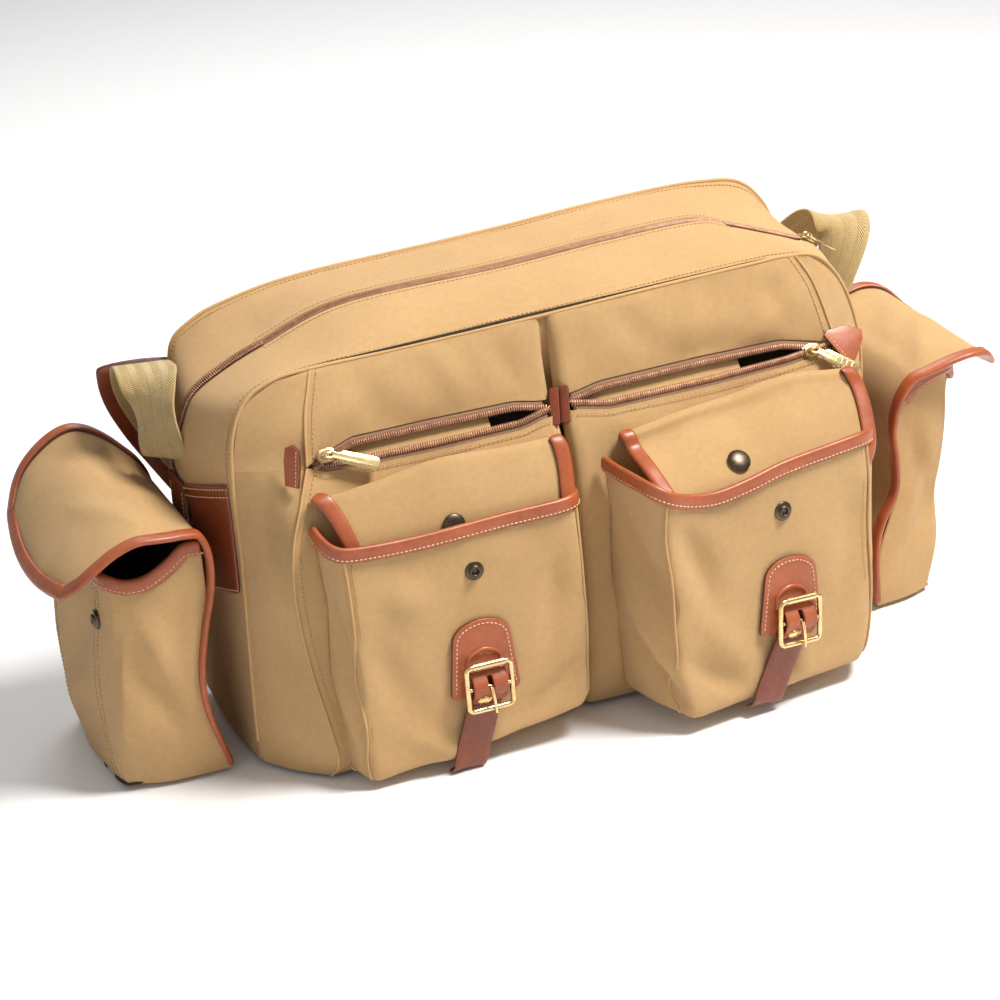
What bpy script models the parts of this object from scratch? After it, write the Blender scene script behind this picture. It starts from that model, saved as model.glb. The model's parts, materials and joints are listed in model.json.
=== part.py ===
"""Canvas field shoulder bag with leather trim: a zipped main compartment, two zipped front
pockets, two dump pockets with buckle straps, two end pockets with storm flaps, and a sling.

Sizes are in millimetres and the helpers turn them into metres. +X runs along the bag,
-Y is its front and +Z is up. The origin is on the floor under the middle of the main body.
"""

import math

import bmesh
import bpy
from mathutils import Matrix, Vector

MM = 0.001
GAP = 0.3
CANVAS = 3.0
LEATHER = 2.4

# Main body: front seam, crest along the main zip, and rear seam.
FRONT_Y = -58.0
REAR_Y = 62.0
BODY_WALL = 6.0
BODY_FLOOR = 3.0
LIP_FRONT_Y = -52.0
LIP_REAR_Y = 56.0
LIP_LEFT_X = -150.0
LIP_RIGHT_X = 150.0
LIP_EDGE = 4.2
ZIP_RADIUS = 1.6
ZIP_TAPE = 3.2
WALL_X = (-212.0, 214.0)
WALL_FOOT = 8.0
WALL_HEIGHTS = (90.0, 165.0)
CORNER_POWER = 1.8
SLIDER_X = 211.0
SLIDER_TRAVEL_X = -40.0
SLIDER_CLEARANCE = 5.2
SLIDER_SIZE = (11.0, 9.0, 3.6)
PULLER_LIFT = 3.4
PULLER_SIZE = (8.0, 1.6)

# Each section: left wall, right wall, corner radii (across, up) and top heights at the corners.
SECTIONS = {
    "front": dict(left=-208, right=221, l_run=54, l_rise=38, r_run=36, r_rise=66, l_top=258, r_top=268),
    "crest": dict(left=-221, right=228, l_run=97, l_rise=76, r_run=98, r_rise=74, l_top=277, r_top=284),
    "rear": dict(left=-209, right=224, l_run=82, l_rise=74, r_run=54, r_rise=62, l_top=275, r_top=285),
}

# Front pockets.
POCKET_X = {"left": (-181.0, -3.0), "right": (3.0, 204.0)}
POCKET_FRONT_Y = -97.0
ZIP_UPPER = (-71.0, 215.5)
ZIP_LOWER = (-84.0, 198.5)
ZIP_INSET = 13.0
ZIP_LIFT = 2.6
POCKET_SLIDER_X = {"left": -155.0, "right": 176.0}
PULLER_DROP = {"left": 24.0, "right": 38.0}

# Dump pockets: each front face is the plane y = y0 + turn * (x - x0) - lean * (top - z).
DUMP_BACK_Y = -99.4
DUMP_TOP = 153.0
TRIM_HEIGHT = 8.0
FACES = {
    "left": dict(x=(-161.0, -8.0), back_x=(-167.0, -5.0), y0=-119.5, turn=0.0, lean=0.045, low=9.0),
    "right": dict(x=(36.0, 186.0), back_x=(22.0, 203.0), y0=-151.0, turn=0.116, lean=0.055, low=13.0),
}
STUD_AT = {"left": (-80.0, 131.0), "right": (121.0, 133.0)}
BUCKLE_AT = {"left": (-80.0, 57.0), "right": (123.0, 61.0)}
BUCKLE_ROLL = {"left": 0.0, "right": -4.0}
STRAP_SLANT = {"left": 0.34, "right": 0.45}
BUCKLE_SIDE = 33.0
BUCKLE_BAR = 3.2
BUCKLE_OUT = 10.0

FLAP_Y = -104.5
FLAP_TOP = 192.0
FLAP_X = {"left": (-147.0, -23.0), "right": (46.0, 178.0)}
CAP_AT = {"left": (-87.0, 157.0), "right": (110.0, 156.0)}
FLAP_LENGTH = 92.0
BINDING = 8.0
CAP_PROFILE = ((0.0, 2.2), (3.5, 2.0), (6.2, 1.3), (7.5, 0.5), (7.5, 0.0), (0.0, 0.0))
STUD_PROFILE = ((0.0, 0.8), (2.2, 0.8), (2.6, 2.6), (4.0, 2.6), (6.2, 1.0), (6.2, 0.0), (0.0, 0.0))

# End pockets: the hinge fold and the profile of the open flap, as (outward, up) from the fold.
END_FOLD = {"left": (-238.0, 176.0), "right": (250.0, 168.0)}
END_OUT = {"left": -1.0, "right": 1.0}
END_FLAP_PROFILE = (
    (3.0, 1.0), (14.0, 8.0), (30.0, 11.5), (48.0, 10.0), (66.0, 3.0), (80.0, -8.0), (89.0, -19.0),
)
END_FLAP_Y = (-74.0, 80.0)
END_FLAP_REACH = {"left": 1.0, "right": 0.87}
END_TOP = {"back": 152.0, "outer": 143.0}
END_LOW = 4.0
END_BACK = {"left": (-9.0, -4.0), "right": (-14.0, -1.0)}
END_DEPTH = {"left": (60.0, 58.0), "right": (46.0, 52.0)}
CAP_Y = {"left": -30.0, "right": 5.0}
SNAP_SHARE = 0.78
BAND_LOW = {"left": 104.0, "right": 94.0}
BAND_HEIGHT = 60.0

# Sling: a webbing strap with a leather shoulder pad on the stretch that hangs behind the bag.
WEB_WIDTH = 38.0
WEB_THICK = 2.6
# Route of the strap: centre of the strap and the way its width runs, from right end to left end.
SLING = (
    ((220.5, 20, 98), (0, 1, 0)), ((221.5, 20, 130), (0, 1, 0)), ((232.0, 21, 168), (0, 1, 0)),
    ((244.0, 23, 200), (-0.1, 1, 0)), ((256.0, 27, 226), (-0.3, 0.9, 0)),
    ((264.0, 36, 243), (-0.6, 0.7, 0)), ((262.0, 52, 247), (-0.9, 0.3, 0.1)),
    ((250.0, 66, 236), (-0.85, 0, 0.4)), ((235.0, 74, 214), (-0.8, 0, 0.55)),
    ((214.0, 77, 172), (-0.85, 0, 0.5)), ((178.0, 77, 122), (-0.75, 0, 0.65)),
    ((120.0, 78, 80), (-0.5, 0, 0.85)), ((50.0, 78, 56), (-0.2, 0, 1)), ((-30.0, 78, 52), (0.1, 0, 1)),
    ((-105.0, 78, 74), (0.45, 0, 0.9)), ((-165.0, 78, 122), (0.7, 0, 0.7)),
    ((-204.0, 76, 178), (0.85, 0, 0.5)), ((-223.0, 72, 214), (0.9, 0, 0.4)),
    ((-234.0, 62, 238), (0.9, -0.3, 0.2)), ((-239.0, 42, 248), (0.8, -0.5, 0)),
    ((-243.0, 21, 245), (0.6, -0.8, 0)), ((-246.0, 9, 230), (0.35, -0.93, 0)),
    ((-246.5, 3, 214), (0.5, -0.85, 0)), ((-244.5, 1, 204), (0.6, -0.79, 0)),
    ((-241.0, 4, 203), (0.6, -0.79, 0)), ((-238.0, 8, 211), (0.6, -0.79, 0)),
)
PAD_STATIONS = slice(13, 18)
PAD_WIDTH = 54.0
PAD_THICK = 4.0


# --- scene helpers ---------------------------------------------------------------------------


def clear_scene():
    for obj in list(bpy.data.objects):
        bpy.data.objects.remove(obj, do_unlink=True)


def new_collection(name):
    collection = bpy.data.collections.new(name)
    bpy.context.scene.collection.children.link(collection)
    return collection


clear_scene()
PARTS = new_collection("field_bag")
CUTTERS = new_collection("cutters")
CUTTERS.hide_render = True


def make_material(name, colour, roughness, metallic=0.0):
    material = bpy.data.materials.new(name)
    material.use_nodes = True
    shader = material.node_tree.nodes["Principled BSDF"]
    shader.inputs["Base Color"].default_value = (*colour, 1.0)
    shader.inputs["Roughness"].default_value = roughness
    shader.inputs["Metallic"].default_value = metallic
    material.diffuse_color = (*colour, 1.0)
    return material


KHAKI = make_material("khaki_canvas", (0.55, 0.36, 0.17), 0.85)
TAN = make_material("tan_leather", (0.42, 0.13, 0.05), 0.42)
DARK_TAN = make_material("dark_leather", (0.16, 0.04, 0.02), 0.45)
BRASS = make_material("polished_brass", (0.80, 0.62, 0.30), 0.25, 1.0)
BRONZE = make_material("antique_bronze", (0.10, 0.07, 0.05), 0.40, 1.0)
COIL = make_material("copper_zip", (0.40, 0.20, 0.13), 0.45, 0.3)
WEBBING = make_material("cotton_webbing", (0.42, 0.30, 0.12), 0.90)
FOAM = make_material("grey_foam", (0.18, 0.18, 0.19), 0.95)


def point(x, y, z):
    return Vector((x, y, z)) * MM


def along(low, high, steps):
    return [low + (high - low) * i / steps for i in range(steps + 1)]


def add_object(name, mesh, material, collection=PARTS):
    obj = bpy.data.objects.new(name, mesh)
    mesh.materials.append(material)
    collection.objects.link(obj)
    return obj


def finish_mesh(name, shape, material, collection=PARTS):
    bmesh.ops.recalc_face_normals(shape, faces=shape.faces)
    mesh = bpy.data.meshes.new(name)
    shape.to_mesh(mesh)
    shape.free()
    return add_object(name, mesh, material, collection)


def loft(name, rings, material, collection=PARTS):
    """A closed solid through rings of equally many points, capped at both ends."""
    shape = bmesh.new()
    rows = [[shape.verts.new(p) for p in ring] for ring in rings]
    count = len(rows[0])
    for low, high in zip(rows, rows[1:]):
        for i in range(count):
            j = (i + 1) % count
            shape.faces.new((low[i], low[j], high[j], high[i]))
    shape.faces.new(rows[0])
    shape.faces.new(rows[-1])
    return finish_mesh(name, shape, material, collection)


def oriented_box(name, centre, axes, size, material, collection=PARTS):
    """A box whose sides run along the three unit vectors in axes."""
    shape = bmesh.new()
    bmesh.ops.create_cube(shape, size=1.0)
    turn = Matrix(axes).transposed().to_4x4()
    scale = Matrix.Diagonal((*[s * MM for s in size], 1.0))
    bmesh.ops.transform(shape, matrix=Matrix.Translation(centre) @ turn @ scale, verts=shape.verts)
    return finish_mesh(name, shape, material, collection)


def box(name, low, high, material, collection=PARTS):
    centre = point(*[(a + b) / 2 for a, b in zip(low, high)])
    size = [b - a for a, b in zip(low, high)]
    return oriented_box(name, centre, ((1, 0, 0), (0, 1, 0), (0, 0, 1)), size, material, collection)


def block(name, corner, material, collection=PARTS):
    """A cube primitive whose corners are moved: corner(x, y, z) takes -1 or 1 for each side."""
    shape = bmesh.new()
    bmesh.ops.create_cube(shape, size=2.0)
    for vert in shape.verts:
        vert.co = corner(*[round(c) for c in vert.co])
    return finish_mesh(name, shape, material, collection)


def plate(name, outline, origin, axes, thickness, material):
    """A flat outline in the plane of axes[0] and axes[1], centred in thickness on the origin."""
    curve = bpy.data.curves.new(name, "CURVE")
    curve.dimensions = "2D"
    curve.fill_mode = "BOTH"
    curve.extrude = thickness / 2 * MM
    loops = outline if isinstance(outline[0][0], (tuple, list)) else [outline]
    for loop in loops:
        spline = curve.splines.new("POLY")
        spline.points.add(len(loop) - 1)
        for vertex, (a, b) in zip(spline.points, loop):
            vertex.co = (a * MM, b * MM, 0.0, 1.0)
        spline.use_cyclic_u = True
    guide = bpy.data.objects.new(name, curve)
    PARTS.objects.link(guide)
    guide.matrix_world = Matrix.Translation(origin) @ Matrix(axes).transposed().to_4x4()
    return as_mesh(guide, material)


def as_mesh(guide, material):
    """Replaces a curve object by a mesh of the same shape, with its caps welded."""
    bpy.context.view_layer.update()
    graph = bpy.context.evaluated_depsgraph_get()
    mesh = bpy.data.meshes.new_from_object(guide.evaluated_get(graph))
    mesh.transform(guide.matrix_world)
    name = guide.name
    bpy.data.objects.remove(guide, do_unlink=True)
    mesh.materials.clear()
    shape = bmesh.new()
    shape.from_mesh(mesh)
    bmesh.ops.remove_doubles(shape, verts=shape.verts, dist=0.001 * MM)
    bpy.data.meshes.remove(mesh)
    return finish_mesh(name, shape, material)


def tube(name, points, radius, material, closed=False, sides=2):
    curve = bpy.data.curves.new(name, "CURVE")
    curve.dimensions = "3D"
    curve.bevel_depth = radius * MM
    curve.bevel_resolution = sides
    curve.use_fill_caps = True
    spline = curve.splines.new("POLY")
    spline.points.add(len(points) - 1)
    for vertex, p in zip(spline.points, points):
        vertex.co = (*p, 1.0)
    spline.use_cyclic_u = closed
    guide = bpy.data.objects.new(name, curve)
    PARTS.objects.link(guide)
    return as_mesh(guide, material)


def turned(name, profile, base, axes, material, steps=20):
    """A round piece turned about axes[2] from (radius, height) pairs listed top to bottom."""
    mesh = bpy.data.meshes.new(name)
    verts = [(r * MM, 0.0, h * MM) for r, h in profile]
    mesh.from_pydata(verts, [(i, i + 1) for i in range(len(verts) - 1)], [])
    obj = add_object(name, mesh, material)
    obj.matrix_world = Matrix.Translation(base) @ Matrix(axes).transposed().to_4x4()
    screw = obj.modifiers.new("turn", "SCREW")
    screw.steps = steps
    screw.render_steps = steps
    screw.use_merge_vertices = True
    screw.merge_threshold = 0.00005
    return obj


def cut(obj, cutter):
    cutter.hide_render = True
    cutter.display_type = "WIRE"
    modifier = obj.modifiers.new("cut_" + cutter.name, "BOOLEAN")
    modifier.operation = "DIFFERENCE"
    modifier.object = cutter


def hinge_group(name, origin, objects):
    """Parents pieces that move together to an empty on their joint's axis."""
    pivot = bpy.data.objects.new(name, None)
    pivot.location = origin
    PARTS.objects.link(pivot)
    for obj in objects:
        obj.parent = pivot
        obj.matrix_parent_inverse = Matrix.Translation(-Vector(origin))
    return pivot


# --- main body ---------------------------------------------------------------------------------


def section_at(y):
    """The bag's cross-section at a depth, blended between the three named ones."""
    if y <= 0:
        share = math.sin(math.pi / 2 * (y - FRONT_Y) / -FRONT_Y)
        ends = SECTIONS["front"], SECTIONS["crest"]
    else:
        share = (y / REAR_Y) ** 2
        ends = SECTIONS["crest"], SECTIONS["rear"]
    return {key: ends[0][key] + (ends[1][key] - ends[0][key]) * share for key in ends[0]}


def corner_drop(share):
    """How far a rounded top corner has dropped, 0 to 1, for a share of its run."""
    return 1 - (1 - share**CORNER_POWER) ** (1 / CORNER_POWER)


def top_z(x, y):
    """Height of the bag's top surface."""
    s = section_at(y)
    left_end = s["left"] + s["l_run"]
    right_end = s["right"] - s["r_run"]
    if x < left_end:
        share = min(1.0, (left_end - x) / s["l_run"])
        return s["l_top"] - s["l_rise"] * corner_drop(share)
    if x > right_end:
        share = min(1.0, (x - right_end) / s["r_run"])
        return s["r_top"] - s["r_rise"] * corner_drop(share)
    return s["l_top"] + (s["r_top"] - s["l_top"]) * (x - left_end) / (right_end - left_end)


def section_ring(y, inset=0.0, floor=BODY_FLOOR):
    """Points round one cross-section, from the bottom left over the top to the bottom right."""
    s = section_at(y)
    left, right = s["left"] + inset, s["right"] - inset
    low_left = max(left, WALL_X[0] + inset)
    low_right = min(right, WALL_X[1] - inset)
    foot = floor + WALL_FOOT
    ring = [(low_left + WALL_FOOT, floor), (low_left, foot)]
    ring += [(low_left, z) for z in WALL_HEIGHTS]
    corner_steps = 6
    for i in range(corner_steps):
        run = 1 - math.cos(math.pi / 2 * i / corner_steps) ** (2 / CORNER_POWER)
        x = left + (s["l_run"] - inset) * run
        ring.append((x, top_z(x, y) - inset if i else s["l_top"] - s["l_rise"]))
    top_steps = 6
    left_end, right_end = left + s["l_run"] - inset, right - s["r_run"] + inset
    for x in along(left_end, right_end, top_steps):
        ring.append((x, top_z(x, y) - inset))
    for i in reversed(range(corner_steps)):
        run = 1 - math.cos(math.pi / 2 * i / corner_steps) ** (2 / CORNER_POWER)
        x = right - (s["r_run"] - inset) * run
        ring.append((x, top_z(x, y) - inset if i else s["r_top"] - s["r_rise"]))
    ring += [(low_right, z) for z in reversed(WALL_HEIGHTS)]
    ring += [(low_right, foot), (low_right - WALL_FOOT, floor)]
    return [point(x, y, z) for x, z in ring]


def make_main_body():
    depths = (FRONT_Y, -45.0, -30.0, -15.0, 0.0, 20.0, 40.0, REAR_Y)
    body = loft("main_body", [section_ring(y) for y in depths], KHAKI)
    inner = (FRONT_Y + BODY_WALL, -30.0, 0.0, 28.0, REAR_Y - BODY_WALL)
    rings = [section_ring(y, BODY_WALL, BODY_FLOOR + BODY_WALL) for y in inner]
    cut(body, loft("main_hollow", rings, KHAKI, CUTTERS))
    low = (LIP_LEFT_X - 0.5, LIP_FRONT_Y - 0.5, 225.0)
    high = (LIP_RIGHT_X + 0.5, LIP_REAR_Y + 0.5, 300.0)
    cut(body, box("main_mouth", low, high, KHAKI, CUTTERS))


def make_base():
    box("base_panel", (-204.0, -50.0, 0.0), (206.0, 54.0, 2.7), TAN)
    pad_low = BODY_FLOOR + BODY_WALL + GAP
    box("base_pad", (-196.0, -46.0, pad_low), (198.0, 50.0, pad_low + 8.0), FOAM)


def lip_stations():
    return along(LIP_LEFT_X, LIP_RIGHT_X, 14)


def make_lip(name, outer_y, inner_y):
    middle = (outer_y + inner_y) / 2
    across = (outer_y, middle, inner_y)
    rings = []
    for x in lip_stations():
        upper = [point(x, y, top_z(x, y)) for y in across]
        lower = [point(x, y, top_z(x, y) - CANVAS) for y in reversed(across)]
        rings.append(upper + lower)
    return loft(name, rings, KHAKI)


def make_lip_zip(name, y):
    points = [point(x, y, top_z(x, 0.0) - 0.4) for x in lip_stations()]
    return tube(name, points, ZIP_RADIUS, COIL)


def make_zip_end(name, xs, lift):
    """The closed run of the main zip that goes down one end of the bag."""
    rings = []
    for x in xs:
        ahead = top_z(x + 1.0, 0.0) - top_z(x - 1.0, 0.0)
        normal = Vector((-ahead, 0.0, 2.0)).normalized()
        centre = point(x, 0.0, top_z(x, 0.0)) + normal * lift * MM
        across = Vector((0.0, ZIP_TAPE, 0.0)) * MM
        up = normal * MM
        rings.append([centre - across - up, centre + across - up, centre + across + up, centre - across + up])
    return loft(name, rings, COIL)


def make_main_closure():
    front = make_lip("top_front_panel", LIP_FRONT_Y, -LIP_EDGE)
    rear = make_lip("top_rear_panel", LIP_REAR_Y, LIP_EDGE)
    front_zip = make_lip_zip("main_zip_row_front", -ZIP_RADIUS - GAP)
    rear_zip = make_lip_zip("main_zip_row_rear", ZIP_RADIUS + GAP)
    make_zip_end("main_zip_end_left", along(-219.0, LIP_LEFT_X - 2.0, 8), 1.8)
    make_zip_end("main_zip_end_right", along(LIP_RIGHT_X + 2.0, 225.0, 8), 1.8)
    middle = (LIP_LEFT_X + LIP_RIGHT_X) / 2
    hinge_group("front_lip_pivot", point(middle, LIP_FRONT_Y, top_z(middle, LIP_FRONT_Y)), [front, front_zip])
    hinge_group("rear_lip_pivot", point(middle, LIP_REAR_Y, top_z(middle, LIP_REAR_Y)), [rear, rear_zip])


def main_slider_frame():
    """Origin and axes of the main slider: along its travel, across the bag, and out of the top."""
    start = point(SLIDER_X, 0.0, top_z(SLIDER_X, 0.0))
    end_x = SLIDER_X + SLIDER_TRAVEL_X
    end = point(end_x, 0.0, top_z(end_x, 0.0))
    travel = (end - start).normalized()
    across = Vector((0.0, -1.0, 0.0))
    out = travel.cross(across).normalized()
    if out.z < 0:
        out = -out
        across = -across
    crest = [point(x, 0.0, top_z(x, 0.0)) for x in along(SLIDER_X, end_x, 10)]
    bulge = max((spot - start).dot(out) for spot in crest)
    return start + out * (bulge + SLIDER_CLEARANCE * MM), (travel, across, out)


def make_slider(name, origin, axes):
    return oriented_box(name, origin, axes, SLIDER_SIZE, BRASS)


def make_puller(name, origin, direction, out, length):
    """A flat pull tab that starts at its hinge on top of the slider."""
    across = out.cross(direction).normalized()
    centre = origin + direction * (length / 2 - 1.0) * MM + out * PULLER_LIFT * MM
    return oriented_box(name, centre, (direction, across, out), (length, *PULLER_SIZE), BRASS)


def make_main_slider():
    origin, axes = main_slider_frame()
    slider = make_slider("main_zip_slider", origin, axes)
    puller = make_puller("main_zip_puller", origin, -axes[0], axes[2], 26.0)
    hinge_group("main_puller_pivot", origin + axes[2] * PULLER_LIFT * MM, [puller])
    hinge_group("main_slider_pivot", origin, [slider])


# --- zipped front pockets ------------------------------------------------------------------------


def profile_block(name, outline, low_x, high_x, material, collection=PARTS):
    """An outline of (y, z) pairs carried from one x to another."""
    rings = [[point(x, y, z) for y, z in outline] for x in (low_x, high_x)]
    return loft(name, rings, material, collection)


def make_zipped_pocket(side):
    low, high = POCKET_X[side]
    back = FRONT_Y - GAP
    outer = [
        (back, 16.0), (-92.0, 14.0), (POCKET_FRONT_Y, 20.0), (POCKET_FRONT_Y - 1.6, 100.0),
        (POCKET_FRONT_Y, 188.0), (-92.0, 193.5), (-85.0, 196.5), (-72.0, 213.5), (-66.0, 236.0),
        (back, 252.0),
    ]
    pocket = profile_block("zipped_pocket_" + side, outer, low, high, KHAKI)
    inner = [
        (back - CANVAS, 20.0), (POCKET_FRONT_Y + CANVAS, 20.0), (POCKET_FRONT_Y + CANVAS, 186.0),
        (-84.0, 192.0), (-71.0, 208.0), (back - CANVAS, 234.0),
    ]
    hollow = profile_block("hollow_" + side, inner, low + CANVAS, high - CANVAS, KHAKI, CUTTERS)
    slot = [(-84.0, 180.0), (-73.6, 180.0), (-73.6, 230.0), (-84.0, 230.0)]
    mouth = profile_block("slot_" + side, slot, low + 18.0, high - 18.0, KHAKI, CUTTERS)
    cut(pocket, hollow)
    cut(pocket, mouth)


def pocket_slope():
    """Unit vectors on the zipped pockets' sloping top: along X, down the slope, and out."""
    down = Vector((0.0, ZIP_LOWER[0] - ZIP_UPPER[0], ZIP_LOWER[1] - ZIP_UPPER[1])).normalized()
    return Vector((1, 0, 0)), down, Vector((0.0, down.z, -down.y))


def slope_point(x, share, lift):
    """A point over the pocket's zip: share 0 at the upper row, 1 at the lower, lifted outwards."""
    _, _, out = pocket_slope()
    y = ZIP_UPPER[0] + (ZIP_LOWER[0] - ZIP_UPPER[0]) * share
    z = ZIP_UPPER[1] + (ZIP_LOWER[1] - ZIP_UPPER[1]) * share
    return point(x, y, z) + out * lift * MM


def make_pocket_zip(side):
    low, high = POCKET_X[side]
    low, high = low + ZIP_INSET, high - ZIP_INSET
    turn = 6.0
    upper = [slope_point(x, 0.0, ZIP_LIFT) for x in along(low, high, 8)]
    lower = [slope_point(x, 1.0, ZIP_LIFT) for x in along(high, low, 8)]
    turn_high = [slope_point(high + turn, share, ZIP_LIFT) for share in (0.3, 0.7)]
    turn_low = [slope_point(low - turn, share, ZIP_LIFT) for share in (0.7, 0.3)]
    tube("pocket_zip_" + side, upper + turn_high + lower + turn_low, ZIP_RADIUS, COIL, closed=True)


def make_pocket_slider(side):
    right, down, out = pocket_slope()
    origin = slope_point(POCKET_SLIDER_X[side], 0.5, 4.4)
    slider = make_slider("pocket_zip_slider_" + side, origin, (right, down, out))
    drop = math.radians(PULLER_DROP[side])
    direction = right * math.cos(drop) + down * math.sin(drop)
    puller = make_puller("pocket_zip_puller_" + side, origin, direction, out, 36.0)
    hinge_group("puller_pivot_" + side, origin + out * PULLER_LIFT * MM, [puller])
    hinge_group("slider_pivot_" + side, origin, [slider])


def make_zip_tabs():
    right, down, out = pocket_slope()
    for side, x, sign in (("left", POCKET_X["left"][0], -1), ("right", POCKET_X["right"][1], 1)):
        lean = 2.0 * sign
        outline = [(-7.0, -12.0), (7.0, -12.0), (9.0 + lean, 4.0), (2 * lean, 12.0), (-9.0 + lean, 4.0)]
        centre = slope_point(x - 4.5 * sign, 0.62, 1.9)
        plate("zip_tab_" + side, outline, centre + out * 3.5 * MM, (right, -down, out), LEATHER, TAN)
    centre = slope_point(0.0, 0.5, 2.2)
    outline = [(-6.0, -12.0), (6.0, -12.0), (6.0, 12.0), (-6.0, 12.0)]
    plate("zip_tab_centre", outline, centre, (right, -down, out), LEATHER, TAN)


# --- dump pockets --------------------------------------------------------------------------------


def face_y(side, x, z):
    f = FACES[side]
    return f["y0"] + f["turn"] * (x - f["x"][0]) - f["lean"] * (DUMP_TOP - z)


def face_axes(side, roll=0.0):
    """Unit vectors on a dump pocket's front face: to the right, up, and out of the face."""
    f = FACES[side]
    out = Vector((f["turn"], -1.0, f["lean"])).normalized()
    right = Vector((1.0, f["turn"], 0.0)).normalized()
    up = out.cross(right).normalized()
    turn = Matrix.Rotation(math.radians(roll), 3, out)
    return turn @ right, turn @ up, out


def face_point(side, x, z, lift=0.0):
    return point(x, face_y(side, x, z), z) + face_axes(side)[2] * lift * MM


def dump_corner(side, inset, drop, top):
    """Corners of a dump pocket's block, drawn in by a wall thickness."""
    f = FACES[side]

    def corner(sx, sy, sz):
        z = top if sz > 0 else f["low"] + drop
        if sy > 0:
            x = f["back_x"][0] + inset if sx < 0 else f["back_x"][1] - inset
            return point(x, DUMP_BACK_Y - inset, z)
        x = f["x"][0] + inset if sx < 0 else f["x"][1] - inset
        return point(x, face_y(side, x, z) + inset, z)

    return corner


def make_dump_pocket(side):
    pocket = block("dump_pocket_" + side, dump_corner(side, 0.0, 0.0, DUMP_TOP), KHAKI)
    hollow = block("dump_hollow_" + side, dump_corner(side, CANVAS, CANVAS, DUMP_TOP + 20.0), KHAKI, CUTTERS)
    cut(pocket, hollow)


def make_dump_trim(side):
    """The leather binding round the mouth: left side, front and right side."""
    f = FACES[side]
    low, high = DUMP_TOP + GAP, DUMP_TOP + TRIM_HEIGHT
    outer_path = [
        (f["back_x"][0] - 0.8, DUMP_BACK_Y), (f["x"][0] - 0.8, face_y(side, f["x"][0], high) - 0.8),
        (f["x"][1] + 0.8, face_y(side, f["x"][1], high) - 0.8), (f["back_x"][1] + 0.8, DUMP_BACK_Y),
    ]
    wall = CANVAS + 0.8
    inner_path = [
        (f["back_x"][0] + wall, DUMP_BACK_Y), (f["x"][0] + wall, face_y(side, f["x"][0], high) + wall),
        (f["x"][1] - wall, face_y(side, f["x"][1], high) + wall), (f["back_x"][1] - wall, DUMP_BACK_Y),
    ]
    rings = []
    for (ox, oy), (ix, iy) in zip(outer_path, inner_path):
        rings.append([point(ox, oy, low), point(ix, iy, low), point(ix, iy, high), point(ox, oy, high)])
    loft("dump_trim_" + side, rings, TAN)


def flap_edge_path(low_x, high_x, top, length, corner):
    """(x, z) down the left edge, along the rounded bottom and up the right edge."""
    bottom = top - length
    path = [(low_x, top), (low_x, bottom + corner)]
    for i in range(1, 4):
        turn = math.pi / 2 * i / 4
        path.append((low_x + corner * (1 - math.cos(turn)), bottom + corner * (1 - math.sin(turn))))
    path += [(low_x + corner, bottom), (high_x - corner, bottom)]
    for i in range(1, 4):
        turn = math.pi / 2 * i / 4
        path.append((high_x - corner * (1 - math.sin(turn)), bottom + corner * (1 - math.cos(turn))))
    path += [(high_x, bottom + corner), (high_x, top)]
    return path


def make_dump_flap(side):
    """The storm flap, tucked down inside its pocket, with its bound edge and snap cap."""
    low, high = FLAP_X[side]
    origin = point(0.0, FLAP_Y, 0.0)
    axes = (Vector((1, 0, 0)), Vector((0, 0, 1)), Vector((0, -1, 0)))
    inner = flap_edge_path(low, high, FLAP_TOP, FLAP_LENGTH - BINDING, 14.0)
    flap = plate("dump_flap_" + side, inner, origin, axes, CANVAS, KHAKI)
    rim_in = flap_edge_path(low - GAP, high + GAP, FLAP_TOP, FLAP_LENGTH - BINDING + GAP, 14.0)
    rim_out = flap_edge_path(low - BINDING, high + BINDING, FLAP_TOP, FLAP_LENGTH, 20.0)
    rim = plate("dump_flap_binding_" + side, rim_out + rim_in[::-1], origin, axes, CANVAS, TAN)
    cap_x, cap_z = CAP_AT[side]
    base = point(cap_x, FLAP_Y - CANVAS / 2 - GAP, cap_z)
    cap = turned("dump_snap_cap_" + side, CAP_PROFILE, base, axes, BRONZE)
    hinge_group("dump_flap_pivot_" + side, point((low + high) / 2, FLAP_Y, FLAP_TOP), [flap, rim, cap])


def make_snap_stud(side):
    base = face_point(side, *STUD_AT[side], GAP)
    turned("dump_snap_stud_" + side, STUD_PROFILE, base, face_axes(side), BRONZE)


def shield_outline(width, height):
    """A leather patch with a rounded top that widens towards its straight bottom."""
    half, top = width / 2, height / 2
    outline = [(-half, -top + 6.0), (-half + 6.0, -top), (half - 6.0, -top), (half, -top + 6.0)]
    for i in range(9):
        turn = math.pi * i / 8
        outline.append((half * 0.86 * math.cos(turn), top - 16.0 + 16.0 * math.sin(turn)))
    return outline


def rectangle(half_x, low_z, high_z):
    return [(-half_x, low_z), (half_x, low_z), (half_x, high_z), (-half_x, high_z)]


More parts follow.
